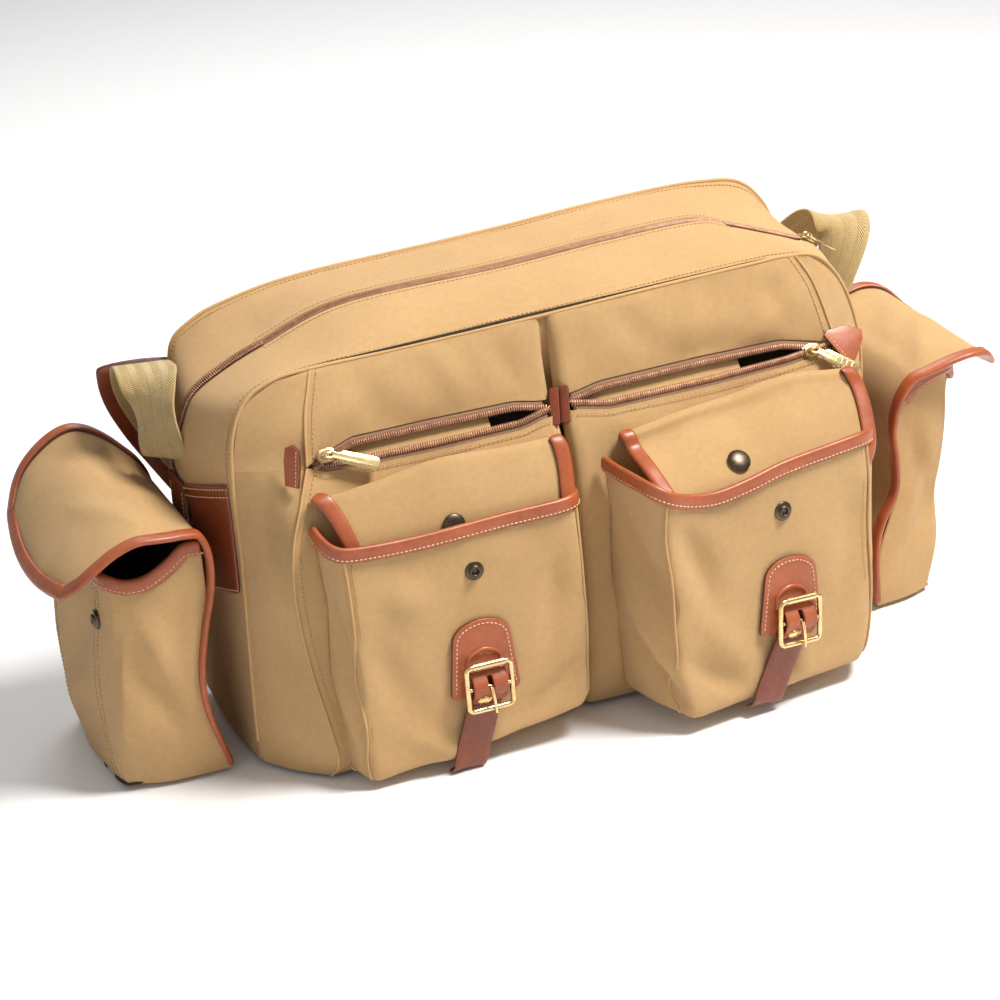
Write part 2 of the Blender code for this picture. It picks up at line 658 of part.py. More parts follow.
def make_buckle(side):
    x, z = BUCKLE_AT[side]
    axes = face_axes(side, BUCKLE_ROLL[side])
    right, up, out = axes
    patch_at = face_point(side, x, z + 17.0, GAP + LEATHER / 2)
    plate("buckle_patch_" + side, shield_outline(46.0, 50.0), patch_at, axes, LEATHER, TAN)
    strap_lift = 2 * GAP + LEATHER * 1.5
    strap_low = FACES[side]["low"] - 4.0
    strap_mid = face_point(side, x, z, strap_lift)
    drop = (z - strap_low) / up.z
    shift = drop * STRAP_SLANT[side]
    strap = [(-11.0 - shift, -drop), (11.0 - shift, -drop), (11.0, 0.0), (11.0, 12.0), (-11.0, 12.0), (-11.0, 0.0)]
    plate("buckle_strap_" + side, strap, strap_mid, axes, LEATHER, TAN)
    centre = face_point(side, x, z, BUCKLE_OUT)
    half = BUCKLE_SIDE / 2
    inside = half - BUCKLE_BAR
    bar = BUCKLE_BAR / 2
    loops = [rectangle(half, -half, half), rectangle(inside, bar, inside), rectangle(inside, -inside, -bar)]
    frame = plate("buckle_frame_" + side, loops, centre, axes, BUCKLE_BAR, BRASS)
    prong_from = centre + out * (BUCKLE_BAR / 2 + 1.8) * MM
    prong = tube("buckle_prong_" + side, [prong_from, prong_from - up * (half + 1.0) * MM], 1.0, BRASS)
    hinge_group("buckle_pivot_" + side, centre, [frame])
    hinge_group("prong_pivot_" + side, centre, [prong])


# --- end pockets ---------------------------------------------------------------------------------


def end_point(side, outward, y, z):
    fold_x, _ = END_FOLD[side]
    return point(fold_x + END_OUT[side] * outward, y, z)


def end_corner(side, inset, top_extra):
    """Corners of an end pocket's block: its back is towards the bag, its outer face away."""
    back_low, back_high = END_BACK[side]
    depth_low, depth_high = END_DEPTH[side]

    def corner(sx, sy, sz):
        away = sx * END_OUT[side] > 0
        z = (END_TOP["outer"] if away else END_TOP["back"]) + top_extra if sz > 0 else END_LOW + inset
        if away:
            y = -50.0 + inset if sy < 0 else 72.0 - inset
            outward = depth_low if sz < 0 else depth_high
            return end_point(side, outward - inset, y, z)
        y = -59.0 + inset if sy < 0 else 70.0 - inset
        outward = back_low if sz < 0 else back_high
        return end_point(side, outward + inset, y, z)

    return corner


def make_end_pocket(side):
    pocket = block("end_pocket_" + side, end_corner(side, 0.0, 0.0), KHAKI)
    hollow = block("end_hollow_" + side, end_corner(side, CANVAS, 30.0), KHAKI, CUTTERS)
    cut(pocket, hollow)


def make_end_trim(side):
    """The leather binding on the mouth's front, outer and rear edges."""
    seam = 1.0
    corner = end_corner(side, 0.0, seam)
    inner = end_corner(side, CANVAS + 0.8, seam)
    outward = 1 if END_OUT[side] > 0 else -1
    stops = [(-outward, -1), (outward, -1), (outward, 1), (-outward, 1)]
    rise = Vector((0, 0, 7.0)) * MM
    rings = []
    for sx, sy in stops:
        out_low = corner(sx, sy, 1)
        in_low = inner(sx, sy, 1)
        in_low.z = out_low.z
        rings.append([out_low, in_low, in_low + rise, out_low + rise])
    loft("end_trim_" + side, rings, TAN)


def flap_station(side, share, lift=0.0):
    """A point and the outward normal on the open flap's profile, for a share of its length."""
    count = len(END_FLAP_PROFILE) - 1
    position = min(max(share, 0.0), 1.0) * count
    i = min(int(position), count - 1)
    reach = Matrix.Diagonal((END_FLAP_REACH[side], 1.0))
    a, b = reach @ Vector(END_FLAP_PROFILE[i]), reach @ Vector(END_FLAP_PROFILE[i + 1])
    spot = a + (b - a) * (position - i)
    slope = (b - a).normalized()
    normal = Vector((-slope.y, slope.x))
    spot += normal * lift
    _, fold_z = END_FOLD[side]
    return spot, fold_z


def flap_point(side, share, y, lift):
    spot, fold_z = flap_station(side, share, lift)
    return end_point(side, spot.x, y, fold_z + spot.y)


def make_end_flap(side):
    """The open storm flap with its bound edge and snap cap, bent along its length."""
    low_y, high_y = END_FLAP_Y
    half = CANVAS / 2
    shares = along(0.0, 0.87, 8)
    rings = []
    for share in shares:
        trim = BINDING + max(0.0, share - 0.8) * 100.0
        y0, y1 = low_y + trim, high_y - trim
        corners = ((y0, -half), (y1, -half), (y1, half), (y0, half))
        rings.append([flap_point(side, share, y, lift) for y, lift in corners])
    flap = loft("end_flap_" + side, rings, KHAKI)
    outer, inner = end_flap_edges(low_y, high_y)
    rim_rings = []
    for (share_o, y_o), (share_i, y_i) in zip(outer, inner):
        rim_rings.append([
            flap_point(side, share_o, y_o, -half), flap_point(side, share_i, y_i, -half),
            flap_point(side, share_i, y_i, half), flap_point(side, share_o, y_o, half),
        ])
    rim = loft("end_flap_binding_" + side, rim_rings, TAN)
    spot = flap_point(side, SNAP_SHARE, CAP_Y[side], half + GAP)
    tip = flap_point(side, SNAP_SHARE, CAP_Y[side], half + GAP + 1.0)
    out = (tip - spot).normalized()
    across = Vector((0, 1, 0))
    cap = turned("end_snap_cap_" + side, CAP_PROFILE, spot, (across, out.cross(across), out), BRONZE)
    fold_x, fold_z = END_FOLD[side]
    hinge_group("end_flap_pivot_" + side, point(fold_x, 0.0, fold_z), [flap, rim, cap])


def end_flap_edges(low_y, high_y):
    """Outer and inner edges of the flap's binding, as matching (share, y) points."""
    outer = [(share, low_y) for share in along(0.0, 0.78, 6)]
    inner = [(share, low_y + BINDING - GAP) for share in along(0.0, 0.78, 6)]
    outer += [(0.9, low_y + 3.0), (1.0, low_y + 16.0), (1.0, high_y - 16.0), (0.9, high_y - 3.0)]
    inner += [(0.92, low_y + BINDING + 10.0), (0.95, low_y + 20.0), (0.95, high_y - 20.0)]
    inner += [(0.92, high_y - BINDING - 10.0)]
    outer += [(share, high_y) for share in along(0.78, 0.0, 6)]
    inner += [(share, high_y - BINDING + GAP) for share in along(0.78, 0.0, 6)]
    return outer, inner


def make_end_stud(side):
    out = Vector((END_OUT[side], 0.0, 0.0))
    corner = end_corner(side, 0.0, 0.0)
    high = corner(END_OUT[side], -1, 1)
    low = corner(END_OUT[side], -1, -1)
    base = low.lerp(high, SNAP_SHARE)
    up = high - low
    up.y = 0.0
    up.normalize()
    across = Vector((0, 1, 0))
    face_out = across.cross(up) if across.cross(up).dot(out) > 0 else up.cross(across)
    base.y = CAP_Y[side] * MM
    base += face_out * GAP * MM
    turned("end_snap_stud_" + side, STUD_PROFILE, base, (face_out.cross(up) * -1, up, face_out), BRONZE)


def make_end_band(side):
    """The leather panel sewn across each end of the main body."""
    wall = WALL_X[0] if side == "left" else WALL_X[1]
    near = wall + END_OUT[side] * 0.5
    far = near + END_OUT[side] * 2.7
    low = (min(near, far), FRONT_Y + 10.0, BAND_LOW[side])
    high = (max(near, far), REAR_Y - 10.0, BAND_LOW[side] + BAND_HEIGHT)
    box("end_band_" + side, low, high, DARK_TAN)


# --- sling ---------------------------------------------------------------------------------------

def strip_rings(stations, width, thick, lift):
    """Rectangles across a strap's route, lifted away from the bag's back."""
    centres = [point(*centre) for centre, _ in stations]
    rings = []
    for i, centre in enumerate(centres):
        ahead = centres[min(i + 1, len(centres) - 1)] - centres[max(i - 1, 0)]
        ahead.normalize()
        across = Vector(stations[i][1]).normalized()
        across = (across - ahead * across.dot(ahead)).normalized()
        normal = ahead.cross(across)
        middle = centre + normal * lift * MM
        a, n = across * width / 2 * MM, normal * thick / 2 * MM
        rings.append([middle - a - n, middle + a - n, middle + a + n, middle - a + n])
    return rings


def make_sling():
    loft("shoulder_sling", strip_rings(SLING, WEB_WIDTH, WEB_THICK, 0.0), WEBBING)
    lift = WEB_THICK / 2 + 1.2 + PAD_THICK / 2
    loft("sling_pad", strip_rings(SLING[PAD_STATIONS], PAD_WIDTH, PAD_THICK, lift), DARK_TAN)


def main():
    make_main_body()
    make_base()
    make_main_closure()
    make_main_slider()
    make_zip_tabs()
    for side in ("left", "right"):
        make_zipped_pocket(side)
        make_pocket_zip(side)
        make_pocket_slider(side)
        make_dump_pocket(side)
        make_dump_trim(side)
        make_dump_flap(side)
        make_snap_stud(side)
        make_buckle(side)
        make_end_pocket(side)
        make_end_trim(side)
        make_end_flap(side)
        make_end_stud(side)
        make_end_band(side)
    make_sling()


main()
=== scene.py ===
"""Looks of the canvas field shoulder bag: sagging canvas shells, bound leather edges, stitching,
coil zips, brass buckles and a webbing sling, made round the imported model.

Shapes are worked out in millimetres in the model's own frame: +X along the bag, -Y its front,
+Z up. The helpers turn them into metres.
"""

import json
import math

import bmesh
import bpy
from mathutils import Matrix, Vector, noise

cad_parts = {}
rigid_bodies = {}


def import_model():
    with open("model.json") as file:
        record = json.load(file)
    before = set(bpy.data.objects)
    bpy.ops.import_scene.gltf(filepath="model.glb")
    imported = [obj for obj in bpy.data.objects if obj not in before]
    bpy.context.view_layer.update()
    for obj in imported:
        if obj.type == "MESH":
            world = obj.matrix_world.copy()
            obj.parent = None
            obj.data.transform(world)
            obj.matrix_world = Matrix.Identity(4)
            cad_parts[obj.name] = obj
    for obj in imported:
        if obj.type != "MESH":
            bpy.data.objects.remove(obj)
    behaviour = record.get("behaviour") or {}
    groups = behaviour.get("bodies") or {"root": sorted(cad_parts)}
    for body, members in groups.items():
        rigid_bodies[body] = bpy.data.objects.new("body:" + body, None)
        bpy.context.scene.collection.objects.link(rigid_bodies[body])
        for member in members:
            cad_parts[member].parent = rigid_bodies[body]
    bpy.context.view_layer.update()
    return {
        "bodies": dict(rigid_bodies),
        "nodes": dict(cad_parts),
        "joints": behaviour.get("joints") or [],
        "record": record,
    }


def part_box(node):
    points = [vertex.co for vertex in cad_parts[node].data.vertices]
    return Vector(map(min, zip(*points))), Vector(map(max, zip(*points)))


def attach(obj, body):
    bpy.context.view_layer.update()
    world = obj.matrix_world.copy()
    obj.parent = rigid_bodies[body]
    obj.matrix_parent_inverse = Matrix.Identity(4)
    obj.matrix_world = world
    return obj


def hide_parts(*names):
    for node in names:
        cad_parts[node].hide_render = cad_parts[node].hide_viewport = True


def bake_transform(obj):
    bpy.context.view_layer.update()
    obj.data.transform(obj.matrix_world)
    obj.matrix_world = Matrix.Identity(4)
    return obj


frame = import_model()

MM = 0.001
UP = Vector((0, 0, 1))
FORWARD = Vector((0, -1, 0))
SIDES = ("left", "right")
OUTWARD = {"left": -1, "right": 1}
CANVAS_THICK = 1.8
TAPE_THICK = 0.7


class Span:
    """The box of a CAD node, in millimetres."""

    def __init__(self, node):
        low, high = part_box(node)
        self.x0, self.y0, self.z0 = [c / MM for c in low]
        self.x1, self.y1, self.z1 = [c / MM for c in high]
        self.middle = (low + high) / (2 * MM)


# --- curves ------------------------------------------------------------------------------------


def vectors(points):
    return [Vector(p) for p in points]


def curve_at(points, share):
    """A point on the smooth curve through the given ones; share counts evenly by point."""
    last = len(points) - 1
    place = min(max(share, 0.0), 1.0) * last
    i = min(int(place), last - 1)
    f = place - i
    a, b, c, d = (points[min(max(i + k, 0), last)] for k in (-1, 0, 1, 2))
    cubic = (3 * b - a - 3 * c + d) * f**3
    return 0.5 * (2 * b + (c - a) * f + (2 * a - 5 * b + 4 * c - d) * f * f + cubic)


def even(points, spacing):
    """Points at an even spacing along a fine polyline."""
    total = sum((b - a).length for a, b in zip(points, points[1:]))
    count = max(2, round(total / spacing))
    step = total / count
    placed, walked = [points[0].copy()], 0.0
    for a, b in zip(points, points[1:]):
        length = (b - a).length
        while len(placed) < count and length > 0 and walked + length >= step * len(placed):
            placed.append(a.lerp(b, (step * len(placed) - walked) / length))
        walked += length
    placed.append(points[-1].copy())
    return placed


def smooth_run(points, spacing, fine=24):
    """Evenly spaced points along the smooth curve through the given ones."""
    points = vectors(points)
    steps = fine * (len(points) - 1)
    return even([curve_at(points, i / steps) for i in range(steps + 1)], spacing)


def along(low, high, steps):
    return [low + (high - low) * i / steps for i in range(steps + 1)]


def tangents(path):
    last = len(path) - 1
    return [(path[min(i + 1, last)] - path[max(i - 1, 0)]).normalized() for i in range(last + 1)]


def hump(share):
    """Rises smoothly from 0 at both ends to 1 in the middle."""
    return math.sin(math.pi * min(max(share, 0.0), 1.0))


# --- meshes ------------------------------------------------------------------------------------


def new_piece(name, verts, faces, materials, kinds=None, uvs=None):
    """A mesh object from points in millimetres, with one UV pair for each face corner."""
    mesh = bpy.data.meshes.new(name)
    mesh.from_pydata([v * MM for v in verts], [], faces)
    for material in materials:
        mesh.materials.append(material)
    if kinds:
        mesh.polygons.foreach_set("material_index", kinds)
    if uvs:
        layer = mesh.uv_layers.new(name="cloth")
        layer.data.foreach_set("uv", [c for pair in uvs for c in pair])
    mesh.shade_smooth()
    obj = bpy.data.objects.new(name, mesh)
    bpy.context.scene.collection.objects.link(obj)
    return obj


def turn_outwards(obj):
    shape = bmesh.new()
    shape.from_mesh(obj.data)
    bmesh.ops.recalc_face_normals(shape, faces=shape.faces)
    shape.to_mesh(obj.data)
    shape.free()


def apply_stack(obj):
    """Makes the object's modifiers part of its mesh."""
    bpy.context.view_layer.update()
    graph = bpy.context.evaluated_depsgraph_get()
    mesh = bpy.data.meshes.new_from_object(obj.evaluated_get(graph))
    obj.modifiers.clear()
    obj.data = mesh
    return obj


def grid_uvs(rows):
    """Distance along and across a grid of points, in metres."""
    across = [0.0]
    for j in range(1, len(rows[0])):
        gaps = [(row[j] - row[j - 1]).length for row in rows[:: max(1, len(rows) // 6)]]
        across.append(across[-1] + sum(gaps) / len(gaps))
    down = [0.0]
    for i in range(1, len(rows)):
        gaps = [(a - b).length for a, b in zip(rows[i][::8], rows[i - 1][::8])]
        down.append(down[-1] + sum(gaps) / len(gaps))
    return [[(u * MM, v * MM) for u in across] for v in down]


def cloth(name, rows, inside, materials, thick=CANVAS_THICK, smooth=1, skip=None):
    """A cloth panel through rows of points, thickened towards the inside point."""
    width = len(rows[0])
    flat = [p for row in rows for p in row]
    table = grid_uvs(rows)
    spread = [pair for row in table for pair in row]
    faces = []
    for i in range(len(rows) - 1):
        for j in range(width - 1):
            if skip and skip(i, j):
                continue
            a = i * width + j
            faces.append((a, a + 1, a + width + 1, a + width))
    inside = Vector(inside)
    facing = 0.0
    for face in faces[:: max(1, len(faces) // 200)]:
        p, q, r = (flat[k] for k in face[:3])
        facing += (q - p).cross(r - p).dot(p - inside)
    if facing < 0:
        faces = [face[::-1] for face in faces]
    obj = new_piece(name, flat, faces, materials, uvs=[spread[k] for face in faces for k in face])
    if thick:
        wall = obj.modifiers.new("wall", "SOLIDIFY")
        wall.thickness = thick * MM
        wall.offset = -1.0
        wall.material_offset = 1 if len(materials) > 1 else 0
    subdivide(obj, smooth)
    return obj


def crisp(obj):
    """Applies the stack and keeps the cut edges from shading into the faces beside them."""
    apply_stack(obj)
    obj.data.shade_smooth()
    obj.data.set_sharp_from_angle(angle=math.radians(50))
    return obj


def subdivide(obj, levels=1):
    if levels:
        finer = obj.modifiers.new("finer", "SUBSURF")
        finer.levels = levels
        finer.render_levels = levels


def push_out(rows, amount):
    """Moves each point along the grid's normal by amount(i, j, point), in millimetres."""
    last_i, last_j = len(rows) - 1, len(rows[0]) - 1
    moved = []
    for i, row in enumerate(rows):
        new_row = []
        for j, p in enumerate(row):
            down = rows[min(i + 1, last_i)][j] - rows[max(i - 1, 0)][j]
            across = row[min(j + 1, last_j)] - row[max(j - 1, 0)]
            normal = across.cross(down)
            if normal.length > 1e-9:
                normal.normalize()
            new_row.append(p + normal * amount(i / last_i, j / last_j, p))
        moved.append(new_row)
    return moved


def rumple(point, size, seed):
    """Soft cloth unevenness, about -1 to 1, that varies over a distance in millimetres."""
    spot = point / size + Vector((seed * 7.3, seed * 3.1, seed * 5.7))
    return noise.noise(spot) + 0.5 * noise.noise(spot * 2.1)


def crease(point, start, end, width):
    """How strongly a straight fold acts on a point: 1 on the fold, fading to its ends."""
    start, end = Vector(start), Vector(end)
    line = end - start
    share = min(max((point - start).dot(line) / line.length_squared, 0.0), 1.0)
    gap = (point - start - line * share).length
    return math.exp(-((gap / width) ** 2)) * hump(0.12 + 0.76 * share)


def creased(point, table):
    """The sum of the creases in a table of (start, end, width, height), in millimetres."""
    return sum(height * crease(point, start, end, width) for start, end, width, height in table)


def loft(name, path, sides, profile, materials, dark=(), closed=False, smooth=1):
    """A profile of (side, normal) pairs carried along a path; dark lists edge-coloured strips."""
    ahead = tangents(path)
    count = len(profile)
    verts = []
    for p, t, side in zip(path, ahead, sides):
        side = (side - t * side.dot(t)).normalized()
        normal = t.cross(side)
        verts += [p + side * a + normal * b for a, b in profile]
    faces, kinds = [], []
    stretches = len(path) if closed else len(path) - 1
    for i in range(stretches):
        j = (i + 1) % len(path)
        for k in range(count):
            m = (k + 1) % count
            faces.append((i * count + k, i * count + m, j * count + m, j * count + k))
            kinds.append(1 if k in dark else 0)
    if not closed:
        top = (len(path) - 1) * count
        faces += [tuple(range(count)), tuple(range(top, top + count))]
        kinds += [1 if dark else 0] * 2
    walked = [0.0]
    for a, b in zip(path, path[1:]):
        walked.append(walked[-1] + (b - a).length)
    walked.append(walked[-1] + (path[0] - path[-1]).length)
    around = [0.0]
    for a, b in zip(profile, [*profile[1:], profile[0]]):
        around.append(around[-1] + math.dist(a, b))
    uvs = []
    for i in range(stretches):
        for k in range(count):
            corners = ((k, i), (k + 1, i), (k + 1, i + 1), (k, i + 1))
            uvs += [(around[a] * MM, walked[b] * MM) for a, b in corners]
    if not closed:
        uvs += [(a * MM, b * MM) for a, b in profile] * 2
    obj = new_piece(name, verts, faces, materials, kinds, uvs)
    turn_outwards(obj)
    subdivide(obj, smooth)
    return obj


def edge_binding(name, path, inwards, width=8.0, thick=4.2):
    """Leather folded over a cloth edge: path is the edge, inwards points into the cloth."""
    h = thick / 2
    profile = (
        (width, h * 0.55), (width - 0.7, h * 0.95), (width * 0.55, h), (0.9, h), (-1.0, h * 0.72),
        (-1.8, 0.0),
        (-1.0, -h * 0.72), (0.9, -h), (width * 0.55, -h), (width - 0.7, -h * 0.95), (width, -h * 0.55),
    )
    return loft(name, path, inwards, profile, [LEATHER, CUT_EDGE], dark=(10,))


def beads(name, places, size, material):
    """Small lens-shaped pieces at (centre, along, up): stitches, or the teeth of a zip."""
    length, width, height = size
    verts, faces = [], []
    for centre, ahead, up in places:
        side = ahead.cross(up).normalized() * width / 2
        lift = up.normalized() * height / 2
        reach = ahead.normalized() * length / 2
        base = len(verts)
        verts.append(centre - reach - lift * 0.6)
        for share in (-0.55, 0.55):
            middle = centre + reach * share
            verts += [middle - side, middle + lift, middle + side, middle - lift]
        verts.append(centre + reach - lift * 0.6)
        for k in range(4):
            m = (k + 1) % 4
            faces.append((base, base + 1 + m, base + 1 + k))
            faces.append((base + 1 + k, base + 1 + m, base + 5 + m, base + 5 + k))
            faces.append((base + 5 + k, base + 5 + m, base + 9))
    obj = new_piece(name, verts, faces, [material])
    turn_outwards(obj)
    return obj


def stitch_places(path, ups, pitch=3.3):
    """Places for stitches along a path whose surface normals are given at its points."""
    line = even(path, pitch)
    ahead = tangents(line)
    places = []
    for p, t in zip(line, ahead):
        nearest = min(range(len(path)), key=lambda k: (path[k] - p).length_squared)
        places.append((p, t, ups[nearest]))
    return places


def stitches(name, path, ups, material, pitch=3.3, thick=0.9):
    return beads(name, stitch_places(path, ups, pitch), (pitch * 0.76, thick, thick), material)


def as_mesh(guide, materials):
    bpy.context.view_layer.update()
    graph = bpy.context.evaluated_depsgraph_get()
    mesh = bpy.data.meshes.new_from_object(guide.evaluated_get(graph))
    mesh.transform(guide.matrix_world)
    name = guide.name
    bpy.data.objects.remove(guide, do_unlink=True)
    shape = bmesh.new()
    shape.from_mesh(mesh)
    bmesh.ops.remove_doubles(shape, verts=shape.verts, dist=0.002 * MM)
    bmesh.ops.recalc_face_normals(shape, faces=shape.faces)
    shape.to_mesh(mesh)
    shape.free()
    mesh.materials.clear()
    for material in materials:
        mesh.materials.append(material)
    mesh.shade_smooth()
    mesh.set_sharp_from_angle(angle=math.radians(50))
    obj = bpy.data.objects.new(name, mesh)
    bpy.context.scene.collection.objects.link(obj)
    return obj


def placed(origin, axes):
    return Matrix.Translation(Vector(origin) * MM) @ Matrix(axes).transposed().to_4x4()


def plate(name, loops, origin, axes, thick, materials, round_edge=0.4):
    """A flat outline with holes and rounded edges, in the plane of the first two axes."""
    curve = bpy.data.curves.new(name, "CURVE")
    curve.dimensions = "2D"
    curve.fill_mode = "BOTH"
    curve.extrude = (thick / 2 - round_edge) * MM
    curve.bevel_depth = round_edge * MM
    curve.bevel_resolution = 2
    curve.offset = -round_edge * MM
    for loop in loops:
        spline = curve.splines.new("POLY")
        spline.points.add(len(loop) - 1)
        for vertex, (a, b) in zip(spline.points, loop):
            vertex.co = (a * MM, b * MM, 0.0, 1.0)
        spline.use_cyclic_u = True
    guide = bpy.data.objects.new(name, curve)
    bpy.context.scene.collection.objects.link(guide)
    guide.matrix_world = placed(origin, axes)
    obj = as_mesh(guide, materials)
    if len(materials) > 1:
        facing = Vector(axes[2])
        for face in obj.data.polygons:
            face.material_index = 1 if abs(face.normal.dot(facing)) < 0.5 else 0
    return obj


def tube(name, path, radius, material, closed=False, sides=3):
    curve = bpy.data.curves.new(name, "CURVE")
    curve.dimensions = "3D"
    curve.bevel_depth = radius * MM
    curve.bevel_resolution = sides
    curve.use_fill_caps = True
    spline = curve.splines.new("POLY")
    spline.points.add(len(path) - 1)
    for vertex, p in zip(spline.points, path):
        vertex.co = (*(p * MM), 1.0)
    spline.use_cyclic_u = closed
    guide = bpy.data.objects.new(name, curve)
    bpy.context.scene.collection.objects.link(guide)
    return as_mesh(guide, [material])


def turned(name, profile, origin, axes, material, steps=32):
    """A round piece about axes[2], from (radius, height) pairs listed top to bottom."""
    mesh = bpy.data.meshes.new(name)
    verts = [(r * MM, 0.0, h * MM) for r, h in profile]
    mesh.from_pydata(verts, [(i, i + 1) for i in range(len(verts) - 1)], [])
    guide = bpy.data.objects.new(name, mesh)
    bpy.context.scene.collection.objects.link(guide)
    guide.matrix_world = placed(origin, axes)
    screw = guide.modifiers.new("turn", "SCREW")
    screw.steps = steps
    screw.render_steps = steps
    screw.use_merge_vertices = True
    screw.merge_threshold = 0.00002
    return as_mesh(guide, [material])


def arc(centre, radius, start, end, steps):
    """(a, b) pairs on an arc, with angles in degrees."""
    turns = [math.radians(t) for t in along(start, end, steps)]
    return [(centre[0] + radius * math.cos(t), centre[1] + radius * math.sin(t)) for t in turns]


def rounded(width, height, radius, steps=4):
    """A rounded rectangle about the origin."""
    a, b = width / 2 - radius, height / 2 - radius
    outline = []
    for cx, cy, start in ((a, b, 0), (-a, b, 90), (-a, -b, 180), (a, -b, 270)):
        outline += arc((cx, cy), radius, start, start + 90, steps)
    return outline


def join(name, objects):
    """Makes one piece of several that share their materials' order."""
    shape = bmesh.new()
    materials = []
    for obj in objects:
        base = len(materials)
        materials += [slot.material for slot in obj.material_slots]
        apply_stack(obj)
        before = len(shape.faces)
        shape.from_mesh(obj.data)
        shape.faces.ensure_lookup_table()
        for face in shape.faces[before:]:
            face.material_index += base
        bpy.data.objects.remove(obj, do_unlink=True)
    mesh = bpy.data.meshes.new(name)
    shape.to_mesh(mesh)
    shape.free()
    for material in materials:
        mesh.materials.append(material)
    joined = bpy.data.objects.new(name, mesh)
    bpy.context.scene.collection.objects.link(joined)
    return joined


def settle(obj, body="root", replaces=()):
    """Says what body a finished piece rides on and hides the CAD nodes it stands for."""
    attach(obj, body)
    if replaces:
        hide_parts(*replaces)
    return obj


def bend(obj, replaces=()):
    """For cloth that spans the root and a moving body: makes its modifiers part of its mesh, moves its
    placing into the mesh and hides the CAD nodes it stands for, but hangs it on no body.
    """
    apply_stack(obj)
    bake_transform(obj)
    if replaces:
        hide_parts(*replaces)
    return obj


# --- materials ---------------------------------------------------------------------------------


class Nodes:
    """Adds and links shader nodes in one tree."""

    def __init__(self, tree):
        self.tree = tree

    def add(self, kind, inputs=None, **settings):
        node = self.tree.nodes.new("ShaderNode" + kind)
        for key, value in settings.items():
            setattr(node, key, value)
        for key, value in (inputs or {}).items():
            if isinstance(value, bpy.types.NodeSocket):
                self.tree.links.new(value, node.inputs[key])
            else:
                node.inputs[key].default_value = value
        return node

    def math(self, operation, a, b=0.5, c=0.5):
        return self.add("Math", {0: a, 1: b, 2: c}, operation=operation).outputs[0]

    def ramp(self, value, low, high, out_low=0.0, out_high=1.0):
        inputs = {"Value": value, "From Min": low, "From Max": high, "To Min": out_low, "To Max": out_high}
        return self.add("MapRange", inputs).outputs[0]

    def mix(self, share, a, b):
        return self.add("Mix", {0: share, 6: a, 7: b}, data_type="RGBA").outputs[2]

    def noise(self, vector, scale, detail=3.0, roughness=0.55):
        inputs = {"Vector": vector, "Scale": scale, "Detail": detail, "Roughness": roughness}
        return self.add("TexNoise", inputs).outputs["Fac"]


def new_group(name, inputs, outputs):
    """An empty shader group with named inputs and outputs, and the ends to build between."""
    tree = bpy.data.node_groups.new(name, "ShaderNodeTree")
    for label, (kind, value) in inputs.items():
        socket = tree.interface.new_socket(label, in_out="INPUT", socket_type="NodeSocket" + kind)
        if value is not None:
            socket.default_value = value
    for label, kind in outputs.items():
        tree.interface.new_socket(label, in_out="OUTPUT", socket_type="NodeSocket" + kind)
    source = tree.nodes.new("NodeGroupInput")
    sink = tree.nodes.new("NodeGroupOutput")
    return tree, Nodes(tree), source, sink


def weave_group():
    """Crossing threads: a height that rises on each thread, for cloth measured in metres."""
    inputs = {"Vector": ("Vector", None), "Thread": ("Float", 0.0009)}
    tree, nodes, source, sink = new_group("plain_weave", inputs, {"Height": "Float"})
    split = nodes.add("SeparateXYZ", {0: source.outputs["Vector"]})
    turns = nodes.math("DIVIDE", 2 * math.pi, source.outputs["Thread"])
    warp = nodes.math("SINE", nodes.math("MULTIPLY", split.outputs[0], turns))
    weft = nodes.math("SINE", nodes.math("MULTIPLY", split.outputs[1], turns))
    height = nodes.math("ADD", nodes.math("ABSOLUTE", warp), nodes.math("ABSOLUTE", weft))
    tree.links.new(height, sink.inputs["Height"])
    return tree


def mottle_group():
    """Broad and fine unevenness of colour, about 0.5."""
    inputs = {"Vector": ("Vector", None), "Broad": ("Float", 9.0), "Fine": ("Float", 90.0)}
    tree, nodes, source, sink = new_group("mottle", inputs, {"Value": "Float"})
    broad = nodes.noise(source.outputs["Vector"], source.outputs["Broad"], 3.0)
    fine = nodes.noise(source.outputs["Vector"], source.outputs["Fine"], 4.0)
    both = nodes.math("MULTIPLY_ADD", fine, 0.4, nodes.math("MULTIPLY", broad, 0.6))
    tree.links.new(both, sink.inputs["Value"])
    return tree


def grain_group():
    """Pebbled leather: rounded cells with fine pores."""
    inputs = {"Vector": ("Vector", None), "Scale": ("Float", 700.0)}
    tree, nodes, source, sink = new_group("leather_grain", inputs, {"Height": "Float"})
    warp = nodes.noise(source.outputs["Vector"], 120.0, 2.0)
    slight = {0: source.outputs["Vector"], 1: (0.002, 0.002, 0.002)}
    shifted = nodes.add("VectorMath", slight, operation="MULTIPLY_ADD")
    tree.links.new(source.outputs["Vector"], shifted.inputs[2])
    tree.links.new(nodes.add("CombineXYZ", {0: warp, 1: warp, 2: warp}).outputs[0], shifted.inputs[0])
    cells = nodes.add("TexVoronoi", {"Vector": shifted.outputs[0], "Scale": source.outputs["Scale"]})
    pores = nodes.noise(source.outputs["Vector"], 1900.0, 2.0)
    height = nodes.math("MULTIPLY_ADD", pores, 0.3, nodes.math("SUBTRACT", 1.0, cells.outputs["Distance"]))
    tree.links.new(height, sink.inputs["Height"])
    return tree


